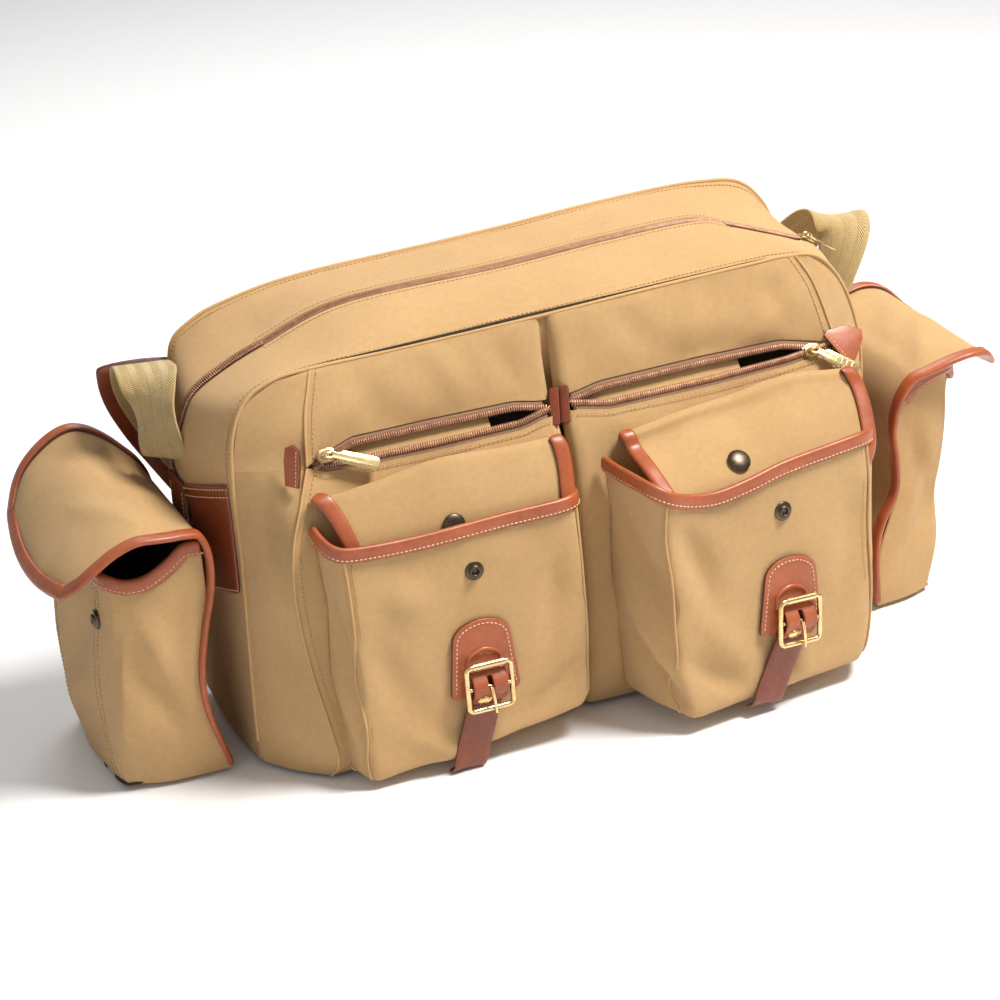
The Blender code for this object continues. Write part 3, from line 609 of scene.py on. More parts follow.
def wear_group():
    """Rubbed and scratched places, 0 to 1."""
    inputs = {"Vector": ("Vector", None), "Amount": ("Float", 0.3)}
    tree, nodes, source, sink = new_group("rubbed", inputs, {"Mask": "Float"})
    stretch = {0: source.outputs["Vector"], 1: (40.0, 260.0, 900.0)}
    stretched = nodes.add("VectorMath", stretch, operation="MULTIPLY")
    lines = nodes.noise(stretched.outputs[0], 1.0, 5.0, 0.7)
    patches = nodes.noise(source.outputs["Vector"], 45.0, 4.0)
    both = nodes.math("MULTIPLY", nodes.ramp(lines, 0.45, 0.75), nodes.ramp(patches, 0.4, 0.65))
    tree.links.new(nodes.math("MULTIPLY", both, source.outputs["Amount"]), sink.inputs["Mask"])
    return tree


def herringbone_group():
    """Slanted ribs that turn at each column of the webbing."""
    inputs = {"Vector": ("Vector", None), "Column": ("Float", 0.0048), "Rib": ("Float", 0.0016)}
    tree, nodes, source, sink = new_group("herringbone", inputs, {"Height": "Float"})
    split = nodes.add("SeparateXYZ", {0: source.outputs["Vector"]})
    zigzag = nodes.math("PINGPONG", split.outputs[0], source.outputs["Column"])
    slant = nodes.math("ADD", zigzag, split.outputs[1])
    turns = nodes.math("DIVIDE", 2 * math.pi, source.outputs["Rib"])
    ribs = nodes.math("SINE", nodes.math("MULTIPLY", slant, turns))
    edge = nodes.ramp(zigzag, 0.0, 0.0007, 0.2, 1.0)
    height = nodes.math("MULTIPLY", nodes.math("MULTIPLY_ADD", ribs, 0.5, 0.5), edge)
    tree.links.new(height, sink.inputs["Height"])
    return tree


GROUPS = {
    "weave": weave_group(),
    "mottle": mottle_group(),
    "grain": grain_group(),
    "wear": wear_group(),
    "herringbone": herringbone_group(),
}


def use_group(nodes, key, inputs):
    node = nodes.tree.nodes.new("ShaderNodeGroup")
    node.node_tree = GROUPS[key]
    for label, value in inputs.items():
        if isinstance(value, bpy.types.NodeSocket):
            nodes.tree.links.new(value, node.inputs[label])
        else:
            node.inputs[label].default_value = value
    return node.outputs[0]


def new_material(name, roughness, metallic=0.0):
    """A material with its Principled shader, its node helper and object coordinates."""
    material = bpy.data.materials.new(name)
    material.use_nodes = True
    nodes = Nodes(material.node_tree)
    shader = material.node_tree.nodes["Principled BSDF"]
    shader.inputs["Roughness"].default_value = roughness
    shader.inputs["Metallic"].default_value = metallic
    place = nodes.add("TexCoord").outputs["Object"]
    return material, nodes, shader, place


def set_colour(nodes, shader, share, dark, light):
    colour = nodes.mix(share, (*dark, 1.0), (*light, 1.0))
    nodes.tree.links.new(colour, shader.inputs["Base Color"])
    return colour


def set_bump(nodes, shader, height, distance, strength=1.0, normal=None):
    inputs = {"Height": height, "Distance": distance, "Strength": strength}
    if normal:
        inputs["Normal"] = normal
    bump = nodes.add("Bump", inputs).outputs[0]
    nodes.tree.links.new(bump, shader.inputs["Normal"])
    return bump


def woven_material(name, dark, light, thread=0.0009, depth=0.00016, sheen=0.12, on_cloth=True):
    """Cotton cloth: uneven dye, crossing threads and a soft sheen."""
    material, nodes, shader, place = new_material(name, 0.86)
    threads_on = nodes.add("UVMap", uv_map="cloth").outputs[0] if on_cloth else place
    weave = use_group(nodes, "weave", {"Vector": threads_on, "Thread": thread})
    mottle = use_group(nodes, "mottle", {"Vector": place, "Broad": 11.0, "Fine": 260.0})
    share = nodes.math("MULTIPLY_ADD", weave, 0.16, nodes.math("SUBTRACT", mottle, 0.1))
    set_colour(nodes, shader, share, dark, light)
    slubs = nodes.noise(place, 900.0, 2.0)
    height = nodes.math("MULTIPLY_ADD", slubs, 0.6, weave)
    soft = nodes.noise(place, 38.0, 3.0)
    broad = nodes.add("Bump", {"Height": soft, "Distance": 0.0011, "Strength": 0.55}).outputs[0]
    set_bump(nodes, shader, height, depth, 0.8, broad)
    shader.inputs["Sheen Weight"].default_value = sheen
    shader.inputs["Sheen Roughness"].default_value = 0.5
    shader.inputs["Specular IOR Level"].default_value = 0.18
    return material


def leather_material(name, dark, light, roughness=0.42, grain=750.0):
    """Waxed leather: mottled dye, rubbed lighter places, pebbled grain and a thin polish."""
    material, nodes, shader, place = new_material(name, roughness)
    mottle = use_group(nodes, "mottle", {"Vector": place, "Broad": 28.0, "Fine": 240.0})
    wear = use_group(nodes, "wear", {"Vector": place, "Amount": 0.35})
    share = nodes.math("ADD", nodes.ramp(mottle, 0.3, 0.7), wear)
    set_colour(nodes, shader, share, dark, light)
    height = use_group(nodes, "grain", {"Vector": place, "Scale": grain})
    set_bump(nodes, shader, height, 0.00007, 0.6)
    rough = nodes.ramp(mottle, 0.3, 0.7, roughness + 0.08, roughness - 0.08)
    nodes.tree.links.new(rough, shader.inputs["Roughness"])
    shader.inputs["Coat Weight"].default_value = 0.18
    shader.inputs["Coat Roughness"].default_value = 0.32
    return material


def metal_material(name, dark, light, roughness, worn):
    """Cast metal with fine scratches and tarnish in patches."""
    material, nodes, shader, place = new_material(name, roughness, 1.0)
    wear = use_group(nodes, "wear", {"Vector": place, "Amount": worn})
    mottle = use_group(nodes, "mottle", {"Vector": place, "Broad": 160.0, "Fine": 1400.0})
    share = nodes.math("ADD", nodes.ramp(mottle, 0.35, 0.65), wear)
    set_colour(nodes, shader, share, dark, light)
    uneven = nodes.ramp(mottle, 0.3, 0.7, roughness + 0.07, roughness - 0.05)
    rough = nodes.math("MULTIPLY_ADD", wear, 0.3, uneven)
    nodes.tree.links.new(rough, shader.inputs["Roughness"])
    set_bump(nodes, shader, nodes.math("ADD", mottle, wear), 0.00004, 0.35)
    return material


def thread_material(name, dark, light):
    material, nodes, shader, place = new_material(name, 0.75)
    mottle = use_group(nodes, "mottle", {"Vector": place, "Broad": 120.0, "Fine": 1500.0})
    set_colour(nodes, shader, nodes.ramp(mottle, 0.3, 0.7), dark, light)
    set_bump(nodes, shader, nodes.noise(place, 2600.0, 2.0), 0.0001, 0.5)
    shader.inputs["Sheen Weight"].default_value = 0.2
    return material


def webbing_material():
    """Heavy cotton webbing with herringbone ribs."""
    material, nodes, shader, place = new_material("cotton_webbing_ribs", 0.85)
    along_strap = nodes.add("UVMap", uv_map="cloth").outputs[0]
    ribs = use_group(nodes, "herringbone", {"Vector": along_strap})
    mottle = use_group(nodes, "mottle", {"Vector": place, "Broad": 14.0, "Fine": 300.0})
    share = nodes.math("MULTIPLY_ADD", ribs, 0.7, nodes.math("SUBTRACT", mottle, 0.4))
    set_colour(nodes, shader, share, (0.29, 0.185, 0.060), (0.68, 0.49, 0.20))
    set_bump(nodes, shader, ribs, 0.0005, 0.9)
    shader.inputs["Sheen Weight"].default_value = 0.3
    return material


def foam_material():
    material, nodes, shader, place = new_material("foam_cells", 0.95)
    cells = nodes.add("TexVoronoi", {"Vector": place, "Scale": 420.0}).outputs["Distance"]
    mottle = use_group(nodes, "mottle", {"Vector": place, "Broad": 20.0, "Fine": 500.0})
    set_colour(nodes, shader, nodes.math("MULTIPLY", cells, mottle), (0.12, 0.12, 0.13), (0.26, 0.26, 0.27))
    set_bump(nodes, shader, cells, 0.0004, 0.7)
    return material


def floor_material():
    material, nodes, shader, place = new_material("pale_table", 0.6)
    mottle = use_group(nodes, "mottle", {"Vector": place, "Broad": 1.2, "Fine": 14.0})
    set_colour(nodes, shader, mottle, (0.90, 0.90, 0.91), (0.94, 0.94, 0.94))
    return material


CANVAS = woven_material("khaki_canvas_weave", (0.40, 0.228, 0.088), (0.65, 0.415, 0.192))
LINING = woven_material("dark_lining", (0.016, 0.011, 0.007), (0.050, 0.036, 0.024), 0.0007, 0.0001, 0.05)
TAPE = woven_material("zip_tape", (0.22, 0.115, 0.062), (0.40, 0.225, 0.13), 0.0011, 0.0003, 0.2)
LEATHER = leather_material("tan_leather_grain", (0.245, 0.050, 0.012), (0.41, 0.096, 0.027))
DARK_LEATHER = leather_material("dark_leather_grain", (0.13, 0.022, 0.007), (0.24, 0.050, 0.015), 0.4)
CUT_EDGE = leather_material("leather_cut_edge", (0.045, 0.014, 0.006), (0.10, 0.032, 0.014), 0.55, 1500.0)
BRASS = metal_material("brass_polish", (0.62, 0.42, 0.17), (0.86, 0.66, 0.36), 0.24, 0.4)
BRONZE = metal_material("bronze_patina", (0.060, 0.044, 0.034), (0.15, 0.112, 0.080), 0.36, 0.5)
COIL = metal_material("coil_copper", (0.34, 0.165, 0.095), (0.62, 0.36, 0.22), 0.38, 0.4)
COIL.node_tree.nodes["Principled BSDF"].inputs["Metallic"].default_value = 0.45
THREAD = thread_material("cream_thread", (0.60, 0.36, 0.17), (0.82, 0.58, 0.33))
TONAL = thread_material("tonal_thread", (0.40, 0.24, 0.09), (0.56, 0.36, 0.15))
WEBBING = webbing_material()
FOAM = foam_material()


# --- main body ---------------------------------------------------------------------------------

# Outlines of the bag as (x, z), from the bottom left over the top to the bottom right.
FRONT_SEAM = (
    (-210, 6), (-210, 46), (-209, 100), (-208, 152), (-209, 193), (-206, 225), (-196, 246), (-178, 256),
    (-150, 258.5), (-90, 259.5), (-4, 262), (70, 265), (144, 267.5), (170, 268), (190, 265), (204, 252),
    (215, 230), (222, 198), (222, 165), (217, 110), (213, 50), (211, 6),
)
CREST = (
    (-212, 6), (-213, 50), (-216, 105), (-222, 160), (-226, 200), (-221, 219), (-212, 235), (-192, 247),
    (-165, 258), (-110, 275), (-2, 278), (70, 282), (133, 283), (157, 275.5), (180, 267), (203, 258),
    (220, 248), (228, 205), (227, 170), (222, 120), (214, 55), (212, 6),
)
REAR_SEAM = (
    (-208, 6), (-209, 50), (-210, 105), (-210, 160), (-209, 195), (-208, 225), (-205, 246), (-193, 257),
    (-170, 266), (-115, 275), (-2, 279), (80, 284), (140, 286), (172, 285), (196, 281), (212, 268),
    (222, 247), (224, 205), (222, 165), (217, 110), (213, 50), (211, 6),
)
OUTLINES = [[Vector((x, 0, z)) for x, z in line] for line in (FRONT_SEAM, CREST, REAR_SEAM)]
FRONT_Y = -60.0
REAR_Y = 62.0
LIP_Y = (-52.0, 56.0)
LAST = len(CREST) - 1
LIP_FROM, LIP_MIDDLE, LIP_TO = 8 / LAST, 10 / LAST, 13 / LAST
ZIP_FROM, ZIP_TO = 4.1 / LAST, 16 / LAST
ZIP_EDGE = 5.5
BODY_CENTRE = (0, 0, 120)


def skin(share, y, lift=0.0):
    """A point on the bag's top and ends: share runs along the outline, y across it."""
    front, crest, rear = (curve_at(line, share) for line in OUTLINES)
    if y <= 0:
        spot = front.lerp(crest, math.sin(math.pi / 2 * (y - FRONT_Y) / -FRONT_Y))
    else:
        spot = crest.lerp(rear, (y / REAR_Y) ** 2)
    spot.y = y
    if not lift:
        return spot
    ahead = skin(min(share + 0.002, 1.0), y) - skin(max(share - 0.002, 0.0), y)
    across = skin(share, min(y + 1.0, REAR_Y)) - skin(share, max(y - 1.0, FRONT_Y))
    return spot + ahead.cross(across).normalized() * lift


def skin_normal(share, y):
    return (skin(share, y, 1.0) - skin(share, y)).normalized()


def sag(spot):
    """Soft folds in the top of the bag, in millimetres, that die out at its seams and its zip."""
    calm = min(1.0, (REAR_Y - spot.y) / 14, (spot.y - FRONT_Y) / 14, (abs(spot.y) - 8) / 8)
    return 1.5 * max(0.0, calm) * rumple(spot, 58.0, 3)


def skin_rows(shares, ys, lift=0.0, folds=False):
    rows = []
    for share in shares:
        row = [skin(share, y, lift) for y in ys]
        if folds:
            row = [p + skin_normal(share, y) * sag(p) for p, y in zip(row, ys)]
        rows.append(row)
    return rows


def folded_edge(inner_y):
    """Depths and lifts across a lip, from its seam to the turned edge beside the zip."""
    sign = -1 if inner_y < 0 else 1
    seam = LIP_Y[0] if sign < 0 else LIP_Y[1]
    ys = along(seam, sign * (ZIP_EDGE + 2), 10)
    lifts = [0.0] * len(ys)
    ys += [sign * ZIP_EDGE, sign * (ZIP_EDGE - 0.6), sign * (ZIP_EDGE - 0.3)]
    lifts += [0.2, -0.7, -1.8]
    return ys, lifts


def make_lip(side):
    """One lip of the main opening, made in two halves, west and east."""
    sign = -1 if side == "front" else 1
    ys, lifts = folded_edge(sign)
    halves = (("west", LIP_FROM, LIP_MIDDLE, -1), ("east", LIP_MIDDLE, LIP_TO, 1))
    for half, start, end, way in halves:
        shares = along(start, end, 36)
        rows = skin_rows(shares, ys)
        for row, share in zip(rows, shares):
            for j, (y, lift) in enumerate(zip(ys, lifts)):
                row[j] += skin_normal(share, y) * (lift + sag(row[j]))
        node = "top_front_panel" if sign < 0 else "top_rear_panel"
        lip = crisp(cloth(f"lip_{side}_{half}", rows, BODY_CENTRE, [CANVAS, LINING], 1.6, 0))
        bend(lip, [node])
        tape_ys = [sign * y for y in (ZIP_EDGE + 1.5, 4.0, 2.8, 1.8)]
        rows = skin_rows(shares, tape_ys, -1.7)
        tape = cloth(f"lip_tape_{side}_{half}", rows, BODY_CENTRE, [TAPE], TAPE_THICK, 0)
        bend(tape)
        line = even([skin(s, sign * 1.7, -0.6) for s in along(start, end, 120)], 1.5)
        across = Vector((0, -sign, 0))
        ups = [skin_normal(start + (end - start) * i / len(line), 0.0) for i in range(len(line))]
        places = [(p, across, up) for p, up in zip(line, ups)]
        row = beads(f"lip_teeth_{side}_{half}", places, (4.8, 1.3, 2.6), COIL)
        bend(row, ["main_zip_row_" + side])
        path = [skin(s, sign * (ZIP_EDGE + 3.2), 0.25) for s in along(start, end, 90)]
        ups = [skin_normal(s, sign * (ZIP_EDGE + 3.2)) for s in along(start, end, 90)]
        sewn = stitches(f"lip_stitches_{side}_{half}", path, ups, TONAL, 3.0, 0.8)
        bend(sewn)


def zip_run(name, start, end, replaced):
    """The closed zip down one end of the bag, with its tape."""
    tape_rows = skin_rows(along(start, end, 40), (-ZIP_EDGE - 1, -3, 0, 3, ZIP_EDGE + 1), -0.9)
    settle(cloth(name + "_tape", tape_rows, BODY_CENTRE, [TAPE], TAPE_THICK, 0))
    line = even([skin(s, 0.0, 0.5) for s in along(start, end, 120)], 1.5)
    ups = [skin_normal(start + (end - start) * i / len(line), 0.0) for i in range(len(line))]
    rows = []
    for sign in (-1, 1):
        rows += [(p + Vector((0, sign * 1.7, 0)), Vector((0, 1, 0)), up) for p, up in zip(line, ups)]
    settle(beads(name + "_teeth", rows, (4.8, 1.3, 2.6), COIL), replaces=[replaced])


def end_columns():
    """Depths across the end of the bag, close together where the cloth turns in at the zip."""
    return [*along(FRONT_Y, -8.5, 12), -7.0, -6.0, -5.3, 0.0, 5.3, 6.0, 7.0, *along(8.5, REAR_Y, 12)]


def make_end_cover(side):
    start, end = (0.0, LIP_FROM) if side == "left" else (LIP_TO, 1.0)
    zip_start, zip_end = (ZIP_FROM, LIP_FROM) if side == "left" else (LIP_TO, ZIP_TO)
    rows = []
    for share in along(start, end, 90):
        row = []
        for y in end_columns():
            open_here = zip_start - 0.004 < share < zip_end + 0.004
            dip = -1.9 if open_here and abs(y) < 5.5 else 0.0
            spot = skin(share, y)
            row.append(spot + skin_normal(share, y) * (dip + sag(spot)))
        rows.append(row)
    cover = crisp(cloth("end_cover_" + side, rows, BODY_CENTRE, [CANVAS, LINING], CANVAS_THICK, 0))
    settle(cover, replaces=["main_body"])
    zip_run("end_zip_" + side, zip_start, zip_end, "main_zip_end_" + side)


def ladder(y, bulge, steps=26):
    """A wall filling an outline: rows run from its left side to its right, bottom to top."""
    line = OUTLINES[0] if y < 0 else OUTLINES[2]
    sign = -1 if y < 0 else 1
    rows = []
    for share in along(0.0, 0.476, 34):
        a, b = curve_at(line, share), curve_at(line, 1.0 - share * 1.1)
        row = []
        for across in along(0.0, 1.0, steps):
            p = a.lerp(b, across)
            p.y = y + sign * bulge * hump(across) ** 0.5 * hump(share / 0.5)
            row.append(p)
        rows.append(row)
    return rows


def make_walls():
    front = cloth("front_wall", ladder(FRONT_Y + 0.6, -1.0), BODY_CENTRE, [CANVAS, LINING], CANVAS_THICK)
    settle(front, replaces=["main_body"])
    rear = cloth("rear_wall", ladder(REAR_Y, 5.0, 40), BODY_CENTRE, [CANVAS, LINING], CANVAS_THICK)
    settle(rear, replaces=["main_body"])
    for name, y, edge in (("front", FRONT_Y, LIP_Y[0]), ("rear", REAR_Y, LIP_Y[1])):
        rows = skin_rows(along(LIP_FROM, LIP_TO, 90), along(y, edge, 4), folds=True)
        edging = crisp(cloth(f"top_edge_{name}", rows, BODY_CENTRE, [CANVAS, LINING], CANVAS_THICK, 0))
        settle(edging, replaces=["main_body"])
        inward = 4.5 if y < 0 else -4.5
        path = [skin(s, y + inward, 0.3) for s in along(0.14, 0.86, 300)]
        ups = [skin_normal(s, y + inward) for s in along(0.14, 0.86, 300)]
        settle(stitches(f"seam_stitches_{name}", path, ups, TONAL, 3.0, 0.8))
        seam = [skin(s, y, 0.2) for s in along(0.02, 0.98, 160)]
        settle(tube(f"piping_{name}", seam, 1.3, CANVAS))


def make_base():
    outline = [(x + 1, y + 2) for x, y in rounded(418, 116, 14)]
    upright = ((1, 0, 0), (0, 1, 0), (0, 0, 1))
    base = plate("leather_base", [outline], (0, 0, 2.0), upright, 3.4, [DARK_LEATHER, CUT_EDGE])
    settle(base, replaces=["base_panel"])
    rows = [[Vector((x, y, 6.2)) for x in along(-209, 210, 30)] for y in along(-59, 61, 10)]
    floor = cloth("floor_panel", rows, (0, 0, -50), [CANVAS, LINING], 1.6)
    settle(floor, replaces=["main_body"])
    pad = bpy.data.objects["base_pad"]
    pad.data.materials.clear()
    pad.data.materials.append(FOAM)


# --- zipped front pockets ------------------------------------------------------------------------

# Rows from the bottom up: the body seam, the side seam's corner and the edge beside the divider.
POCKET_ROWS = {
    "left": (
        ((-208, -60, 4), (-176, -97, 3), (-6, -90, 4)),
        ((-210, -60, 30), (-173, -106, 20), (-6, -97, 26)),
        ((-210, -60, 75), (-183, -99, 80), (-6, -98, 80)),
        ((-208, -60, 127), (-188, -98, 127), (-6, -98, 127)),
        ((-209, -60, 160), (-186, -97, 160), (-6, -97, 160)),
        ((-209, -60, 182), (-178, -92, 182), (-6, -90, 190)),
        ((-208, -60, 203), (-167, -79, 203), (-7, -84, 203)),
        ((-204, -60, 225), (-163, -71, 232), (-7, -68, 236)),
        ((-197, -60, 243), (-158, -66, 248), (-6, -64, 252)),
        ((-178, -60, 255), (-154, -61, 258), (-5, -60.6, 261.5)),
    ),
    "right": (
        ((211, -60, 5), (204, -90, 4), (6, -90, 4)),
        ((212, -60, 30), (206, -98, 26), (6, -97, 26)),
        ((214, -60, 75), (206, -99, 80), (6, -98, 80)),
        ((217, -60, 127), (205, -98, 127), (6, -98, 127)),
        ((221, -60, 160), (203, -97, 160), (6, -97, 160)),
        ((222, -60, 182), (201, -92, 182), (6, -90, 190)),
        ((221, -60, 206), (195, -79, 208), (7, -84, 205)),
        ((215, -60, 230), (190, -71, 234), (7, -68, 238)),
        ((206, -60, 249), (184, -66, 253), (6, -64, 254)),
        ((190, -60, 265), (176, -61, 267), (5, -60.6, 262)),
    ),
}
ZIP_ROW = 6
GUSSET_COLUMNS = 10
FACE_FROM = GUSSET_COLUMNS - 1
# Shares along the face, and the depth and height of the lower and upper edges of the opening.
OPENING = {
    "left": (
        (0.0, -79, 203, -79, 204), (0.07, -82.5, 199.5, -76, 209), (0.2, -84, 199, -72, 214.5),
        (0.5, -85, 199, -71.5, 215), (0.85, -84.5, 200, -72, 215), (1.0, -83, 204, -74, 212),
    ),
    "right": (
        (0.0, -79, 208, -79, 209), (0.07, -82, 206, -75, 213), (0.2, -84, 204, -72, 218),
        (0.5, -85, 202, -71.5, 218), (0.85, -84.5, 201, -72, 216.5), (1.0, -83, 205, -74, 213),
    ),
}
SLOT_FROM = {"left": 0.76, "right": 0.0}
SLOT_TO = {"left": 1.0, "right": 0.36}


def opening_edge(side, share, upper):
    """A point on the edge of a zipped pocket's opening, from its outer end to the divider."""
    table = OPENING[side]
    k = next(i for i in range(1, len(table)) if share <= table[i][0] + 1e-9)
    a, b = table[k - 1], table[k]
    f = (share - a[0]) / (b[0] - a[0])
    f = f * f * (3 - 2 * f) if k in (1, len(table) - 1) else f
    start = POCKET_ROWS[side][ZIP_ROW][1][0]
    end = POCKET_ROWS[side][ZIP_ROW][2][0]
    column = 3 if upper else 1
    y = a[column] + (b[column] - a[column]) * f
    z = a[column + 1] + (b[column + 1] - a[column + 1]) * f
    return Vector((start + (end - start) * share, y, z))


def pocket_row(side, row, edge=None):
    """Points across a zipped pocket: its gusset, its face and the fold into the divider."""
    seam, corner, end = vectors(row)
    sign = OUTWARD[side]
    middle = seam.lerp(corner, 0.5) + Vector((sign * 2.5, -1.5, 0)) * min(1.0, (corner - seam).length / 30)
    points = [curve_at([seam, middle, corner], t) for t in along(0.0, 0.94, 9)]
    for t in along(0.0, 1.0, 44):
        p = edge(t) if edge else corner.lerp(end, t) + Vector((0, -1.2 * hump(t) ** 0.5, 0))
        points.append(p)
    last = points[-1]
    points += [last + Vector((-sign * 3.0, 2.5, 0)), last + Vector((-sign * 4.6, 9.0, 0))]
    return points


def refined(rows, steps):
    """More rows by smooth curves through the given rows' matching points."""
    columns = list(zip(*rows))
    return [[curve_at(column, t) for column in columns] for t in along(0.0, 1.0, steps)]


def joined_at_gusset(low, high):
    """Both parts of a zipped pocket with more rows, whose gusset runs on from one to the other."""
    steps = 46, 18
    parts = refined(low, steps[0]), refined(high, steps[1])
    meeting = (len(low) - 1) / (len(low) + len(high) - 2)
    for j in range(GUSSET_COLUMNS):
        column = [row[j] for row in low + high[1:]]
        for part, shares in zip(parts, (along(0.0, meeting, steps[0]), along(meeting, 1.0, steps[1]))):
            for row, share in zip(part, shares):
                row[j] = curve_at(column, share)
    return parts


POCKET_CREASES = {
    "left": (
        ((-206, -70, 205), (-190, -92, 125), 13, -5.0), ((-206, -72, 120), (-182, -96, 50), 12, -4.5),
        ((-200, -80, 150), (-186, -95, 90), 7, 3.0), ((-130, -64, 250), (-112, -72, 222), 12, -3.0),
        ((-76, -64, 256), (-58, -72, 222), 9, 2.6), ((-36, -64, 254), (-24, -70, 224), 9, -3.2),
        ((-165, -75, 222), (-120, -66, 246), 9, 2.2),
    ),
    "right": (
        ((214, -66, 215), (204, -94, 120), 12, -4.0), ((48, -64, 256), (70, -70, 228), 10, -3.0),
        ((104, -64, 260), (92, -72, 226), 9, 2.4), ((150, -64, 260), (166, -72, 228), 10, -2.8),
        ((24, -64, 254), (16, -70, 226), 8, -2.6), ((182, -66, 248), (140, -70, 226), 8, 2.2),
    ),
}


def pocket_folds(side):
    """Dents and creases of a zipped pocket, by place."""
    seed = 11 if side == "left" else 17

    def amount(i, j, p):
        calm = min(1.0, i * 6, (1 - i) * 6, j * 8, (1 - j) * 8, abs(j - 0.175) * 8 + 0.2)
        return calm * (2.6 * rumple(p, 66.0, seed) + creased(p, POCKET_CREASES[side]))

    return amount


def seam_height(x):
    """The height of the seam along the top of the bag's front, over a place across the bag."""
    shares = along(LIP_FROM, LIP_TO, 200)
    return min((skin(s, FRONT_Y) for s in shares), key=lambda p: abs(p.x - x)).z


def up_to_seam(p):
    """The point raised to just under the seam above it."""
    return Vector((p.x, p.y, max(p.z, seam_height(p.x) - 0.4)))


def make_zipped_pocket(side):
    rows = POCKET_ROWS[side]
    low = [pocket_row(side, row) for row in rows[:ZIP_ROW]]
    low.append(pocket_row(side, rows[ZIP_ROW], lambda t: opening_edge(side, t, False)))
    high = [pocket_row(side, rows[ZIP_ROW], lambda t: opening_edge(side, t, True))]
    high += [pocket_row(side, row) for row in rows[ZIP_ROW + 1 :]]
    folds = pocket_folds(side)
    high[-1] = high[-1][:FACE_FROM] + [up_to_seam(p) for p in high[-1][FACE_FROM:]]
    parts = joined_at_gusset(low, high)
    nodes = ["zipped_pocket_" + side]
    sign = -1 if side == "left" else 1
    inside = (rows[3][2][0] + sign * 90, -62, 120)
    flip = -1 if side == "right" else 1
    for name, part in zip(("lower", "upper"), parts):
        grid = push_out(part, lambda i, j, p: flip * folds(i, j, p))
        panel = crisp(cloth(f"zip_pocket_{name}_{side}", grid, inside, [CANVAS, LINING], CANVAS_THICK, 0))
        settle(panel, replaces=nodes)
        sew_pocket_seam(f"{name}_{side}", grid, sign)
    make_pocket_zip(side)


def sew_pocket_seam(name, grid, sign):
    """A ridge and a row of stitches down the corner between a pocket's gusset and its face."""
    corner = [row[10] + Vector((sign * 0.3, -0.3, 0)) for row in grid]
    settle(tube("seam_ridge_" + name, even(corner, 4.0), 0.9, CANVAS))
    beside = [row[11].lerp(row[12], 0.2) + Vector((0, -0.4, 0)) for row in grid]
    settle(stitches("seam_thread_" + name, beside, [FORWARD] * len(beside), TONAL, 3.0, 0.7))


def make_pocket_zip(side):
    """Tapes, coils and stitching along both edges of a pocket's opening."""
    slope = Vector((0, 13, 16)).normalized()
    out = Vector((0, -16, 13)).normalized()
    shares = along(0.03, 0.985, 120)
    coil = []
    for upper in (False, True):
        word = "upper" if upper else "lower"
        way = -slope if upper else slope
        edge = [opening_edge(side, s, upper) for s in shares]
        rows = [[p - way * 1.5 - out * 0.9 for p in edge], [p + way * 2.0 - out * 0.8 for p in edge],
                [p + way * 4.0 - out * 0.6 for p in edge]]
        settle(cloth(f"pocket_tape_{word}_{side}", rows, (0, -40, 190), [TAPE], TAPE_THICK, 0))
        coil.append([p + way * 4.6 for p in edge])
        sewn = [p - way * 3.2 + out * 0.9 for p in edge]
        settle(stitches(f"pocket_zip_thread_{word}_{side}", sewn, [out] * len(sewn), TONAL, 3.0, 0.75))
    low_end, high_end = coil[0][-1], coil[1][-1]
    turn = [low_end, low_end.lerp(high_end, 0.5) + Vector((-OUTWARD[side] * 2.5, 0, 0)), high_end]
    ring = even(coil[0] + smooth_run(turn, 1.0) + coil[1][::-1], 1.5)
    ahead = tangents(ring)
    places = [(p, t.cross(out).normalized(), out) for p, t in zip(ring, ahead)]
    teeth = beads("pocket_coil_" + side, places, (5.2, 1.3, 2.8), COIL)
    settle(teeth, replaces=["pocket_zip_" + side])
    make_pocket_fly(side, out)


def make_pocket_fly(side, out):
    """The cloth behind the open zip, with a dark slot where the pocket gapes."""
    low, high = SLOT_FROM[side], SLOT_TO[side]
    stretch = (0.0, low) if side == "left" else (high, 1.0)
    spans = (("fly", *stretch, CANVAS, 4.5), ("slot", 0.0, 1.0, LINING, 13.0))
    for name, start, end, material, depth in spans:
        rows = []
        for t in along(0.0, 1.0, 8):
            row = []
            for s in along(max(start, 0.015), min(end, 0.985), 40):
                a, b = opening_edge(side, s, False), opening_edge(side, s, True)
                row.append(a.lerp(b, -0.2 + 1.4 * t) - out * depth * (0.3 + 0.7 * hump(0.1 + 0.8 * t)))
            rows.append(row)
        settle(cloth(f"pocket_{name}_{side}", rows, (0, -30, 190), [material], 1.0, 0))


# --- zip sliders and tabs ------------------------------------------------------------------------


def make_slider(node, axes, body):
    """A brass slider: two plates round the coils, with a bridge that holds the pull tab."""
    ahead, _, out = axes
    origin = Span(node).middle
    shield = [*arc((1.5, 0), 4.4, -60, 60, 8), (-2.0, 4.3), (-5.3, 3.2), (-5.3, -3.2), (-2.0, -4.3)]
    upper = plate(node + "_top", [shield], origin + out * 1.2, axes, 1.3, [BRASS], 0.5)
    lower = plate(node + "_under", [shield], origin - out * 1.7, axes, 0.9, [BRASS], 0.3)
    post = plate(node + "_post", [rounded(4.0, 1.6, 0.7)], origin - out * 0.4, axes, 3.0, [BRASS], 0.2)
    hoop = ((-3.6, 1.5), (-3.4, 3.6), (-1.8, 4.8), (1.2, 4.8), (3.0, 3.6), (3.4, 1.5))
    arch = [origin + ahead * a + out * b for a, b in hoop]
    bridge = tube(node + "_bridge", smooth_run(arch, 0.8), 0.85, BRASS)
    settle(join(node + "_brass", [upper, lower, post, bridge]), body, [node])


